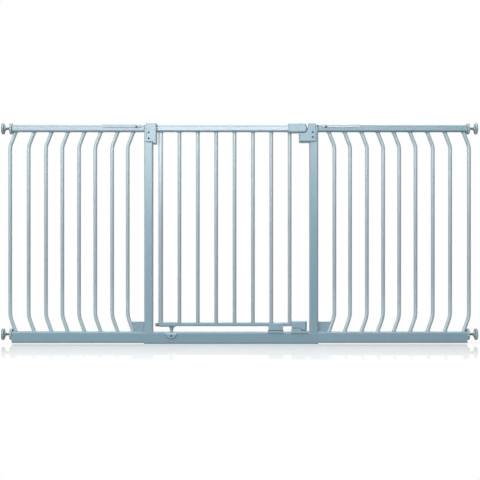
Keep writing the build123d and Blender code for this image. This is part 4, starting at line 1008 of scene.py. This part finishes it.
class GATE_OT_adjusters(Operator):
    """Hand wheels, threaded spindles, wall pads and their rubber"""

    bl_idname = "gate.adjusters"
    bl_label = "Wall adjusters"

    def execute(self, context):
        sizes = context.scene.gate_fittings
        for side_name, side in SIDES.items():
            for level, height in ADJUSTER_HEIGHTS.items():
                corner = f"{side_name}_{level}"
                on_wheel, on_pad = f"{corner}_wheel", f"{corner}_pad"
                wheel = wheel_shape(side, height, sizes.grips)
                spindle = spindle_shape(side, height, sizes)
                pad = pad_shape(side, height, sizes.ribs)
                facing = facing_shape(side, height, sizes.rings)
                for name, shape, slot, body, node in (
                    ("hand_wheel", wheel, "adjuster_plastic", on_wheel, "wheel"),
                    ("thread", spindle, "zinc_steel", on_pad, "spindle"),
                    ("wall_pad", pad, "adjuster_plastic", on_pad, "pad"),
                    ("rubber", facing, "pad_rubber", on_pad, "pad_facing"),
                ):
                    add_piece(f"{corner}_{name}", shape, slot, body, f"{corner}_{node}")
        return {"FINISHED"}


def add_camera(stage):
    """Camera that looks level along Y."""
    camera = bpy.data.cameras.new("gate_camera")
    camera.lens = stage.lens
    camera.sensor_width = SENSOR_WIDTH
    camera.clip_end = CAMERA_REACH
    view = add_object("gate_camera", camera)
    view.location = stage.camera_place
    view.rotation_euler = (math.radians(90), 0, 0)
    return view


def add_softbox(name, place, aim, size, power):
    """Rectangular softbox that shines at a point."""
    lamp = bpy.data.lights.new(name, "AREA")
    lamp.shape = "RECTANGLE"
    lamp.size, lamp.size_y = size
    lamp.energy = power
    box = add_object(name, lamp)
    box.location = place
    box.rotation_euler = (Vector(aim) - Vector(place)).to_track_quat("-Z", "Y").to_euler()
    box.visible_camera = False


def studio_ground(stage):
    """World that is white to the camera, partly white in gloss, and an even fill otherwise."""
    ground = Finish(bpy.data.worlds.new("studio_ground"))
    colour = (*stage.floor, 1)
    camera, through, glossy = ground.node("ShaderNodeLightPath", output=SEEN_RAYS)
    direction = ground.node("ShaderNodeTexCoord", output="Generated")
    sideways, forward, upward = ground.node(
        "ShaderNodeSeparateXYZ", None, {0: direction}, output=("X", "Y", "Z")
    )
    left = WHITE_LEFT * sideways.clipped(-0.3, -0.9)
    right = WHITE_RIGHT * sideways.clipped(0.3, 0.9)
    rear = WHITE_REAR * forward.clipped(0.2, 0.6)
    horizon = forward.clipped(0.9, 0.95) * upward.clipped(0.3, 0.2)
    white = camera + through + glossy * (rear + left + right + horizon)
    fill = ground.node("ShaderNodeBackground", None, {"Color": colour, "Strength": stage.fill})
    backdrop = ground.node("ShaderNodeBackground", None, {"Color": colour, "Strength": 1.0})
    sockets = {0: white.clipped(0, 1), 1: fill, 2: backdrop}
    ground.close(ground.node("ShaderNodeMixShader", None, sockets), "ShaderNodeOutputWorld")
    return ground.owner


def floor_finish(stage):
    """White floor that keeps the gate's shadow, and a reflection that fades away from it."""
    floor = Finish(bpy.data.materials.new("studio_floor"))
    white = (*stage.floor, 1)
    x, y = floor.node("ShaderNodeSeparateXYZ", None, {0: floor.place()}, output=("X", "Y"))
    ahead, away, sideways = y * -1, abs(y), abs(x)

    shade = (*scaled(stage.floor, FLOOR_SHADE), 1)
    lit = floor.node("ShaderNodeBsdfDiffuse", None, {"Color": shade})
    glow = floor.node("ShaderNodeEmission", None, {"Color": white, "Strength": FLOOR_GLOW})
    near = floor.node("ShaderNodeAddShader", None, {0: lit, 1: glow})
    far = floor.node("ShaderNodeEmission", None, {"Color": white, "Strength": 1.0})
    beyond = 1 - away.clipped(*FLOOR_DEPTH) * sideways.clipped(*FLOOR_LENGTH)
    plain = floor.node("ShaderNodeMixShader", None, {0: beyond, 1: near, 2: far})

    gloss = floor.node("ShaderNodeBsdfGlossy", None, {"Color": white, "Roughness": FLOOR_ROUGHNESS})
    fade = floor.node("ShaderNodeMath", {"operation": "EXPONENT"}, {0: away / -stage.fade})
    strip = ahead.clipped(*MIRROR_START) * ahead.clipped(*MIRROR_STOP)
    facing = floor.node("ShaderNodeLayerWeight", None, {"Blend": 0.5}, output="Facing")
    foot = MIRROR_FOOT_SHARE + (1 - MIRROR_FOOT_SHARE) * ahead.clipped(*MIRROR_FOOT)
    share = fade * stage.mirror * strip * sideways.clipped(*MIRROR_LENGTH)
    share = share * facing.clipped(*MIRROR_GRAZING) * foot
    seen = floor.node("ShaderNodeMixShader", None, {0: share, 1: plain, 2: gloss})

    sent_back = (*scaled(stage.floor, FLOOR_BOUNCE), 1)
    bounce = floor.node("ShaderNodeBsdfDiffuse", None, {"Color": sent_back})
    camera, through, glossy = floor.node("ShaderNodeLightPath", output=SEEN_RAYS)
    seen_ray = (camera + through + glossy).clipped(0, 1)
    floor.close(floor.node("ShaderNodeMixShader", None, {0: seen_ray, 1: bounce, 2: seen}))
    return floor.owner


def floor_mesh(stage):
    """Wide flat floor."""
    shape = bmesh.new()
    bmesh.ops.create_grid(
        shape, x_segments=FLOOR_SQUARES, y_segments=FLOOR_SQUARES, size=FLOOR_REACH
    )
    mesh = bpy.data.meshes.new("studio_floor")
    shape.to_mesh(mesh)
    shape.free()
    mesh.materials.append(floor_finish(stage))
    return mesh


class GATE_OT_stage(Operator):
    """Camera, softboxes, white ground and floor"""

    bl_idname = "gate.stage"
    bl_label = "Stage"

    def execute(self, context):
        scene = context.scene
        stage = scene.gate_stage
        scene.view_settings.view_transform = "Standard"
        scene.camera = add_camera(stage)
        for name, (place, aim, size) in SOFTBOXES.items():
            power = getattr(stage, f"{name}_power")
            add_softbox(f"{name}_softbox", place, aim, size, power)
        scene.world = studio_ground(stage)
        floor = add_object("studio_floor", floor_mesh(stage))
        return {"FINISHED"}


GROUPS = {"gate_finishes": GateFinishes, "gate_fittings": GateFittings, "gate_stage": GateStage}
OPERATORS = (
    GATE_OT_stage,
    GATE_OT_tubes,
    GATE_OT_welds,
    GATE_OT_housings,
    GATE_OT_base_fittings,
    GATE_OT_latch,
    GATE_OT_hinge_steel,
    GATE_OT_screws,
    GATE_OT_adjusters,
)


class GATE_PT_looks(Panel):
    """Sizes, colours and steps of the gate's looks"""

    bl_idname = "GATE_PT_looks"
    bl_label = "Safety Gate"
    bl_space_type = "VIEW_3D"
    bl_region_type = "UI"
    bl_category = "Safety Gate"

    def draw(self, context):
        for name, group in GROUPS.items():
            box = self.layout.box()
            for setting in group.__annotations__:
                box.prop(getattr(context.scene, name), setting)
        for operator in OPERATORS:
            self.layout.operator(operator.bl_idname)


CLASSES = (*GROUPS.values(), *OPERATORS, GATE_PT_looks)


def register():
    for cls in CLASSES:
        bpy.utils.register_class(cls)
    for name, group in GROUPS.items():
        setattr(bpy.types.Scene, name, PointerProperty(type=group))


def unregister():
    for name in GROUPS:
        delattr(bpy.types.Scene, name)
    for cls in reversed(CLASSES):
        bpy.utils.unregister_class(cls)


def main():
    register()
    bpy.ops.gate.stage()
    bpy.ops.gate.tubes()
    bpy.ops.gate.welds()
    bpy.ops.gate.housings()
    bpy.ops.gate.base_fittings()
    bpy.ops.gate.latch()
    bpy.ops.gate.hinge_steel()
    bpy.ops.gate.screws()
    bpy.ops.gate.adjusters()


if __name__ == "__main__":
    main()
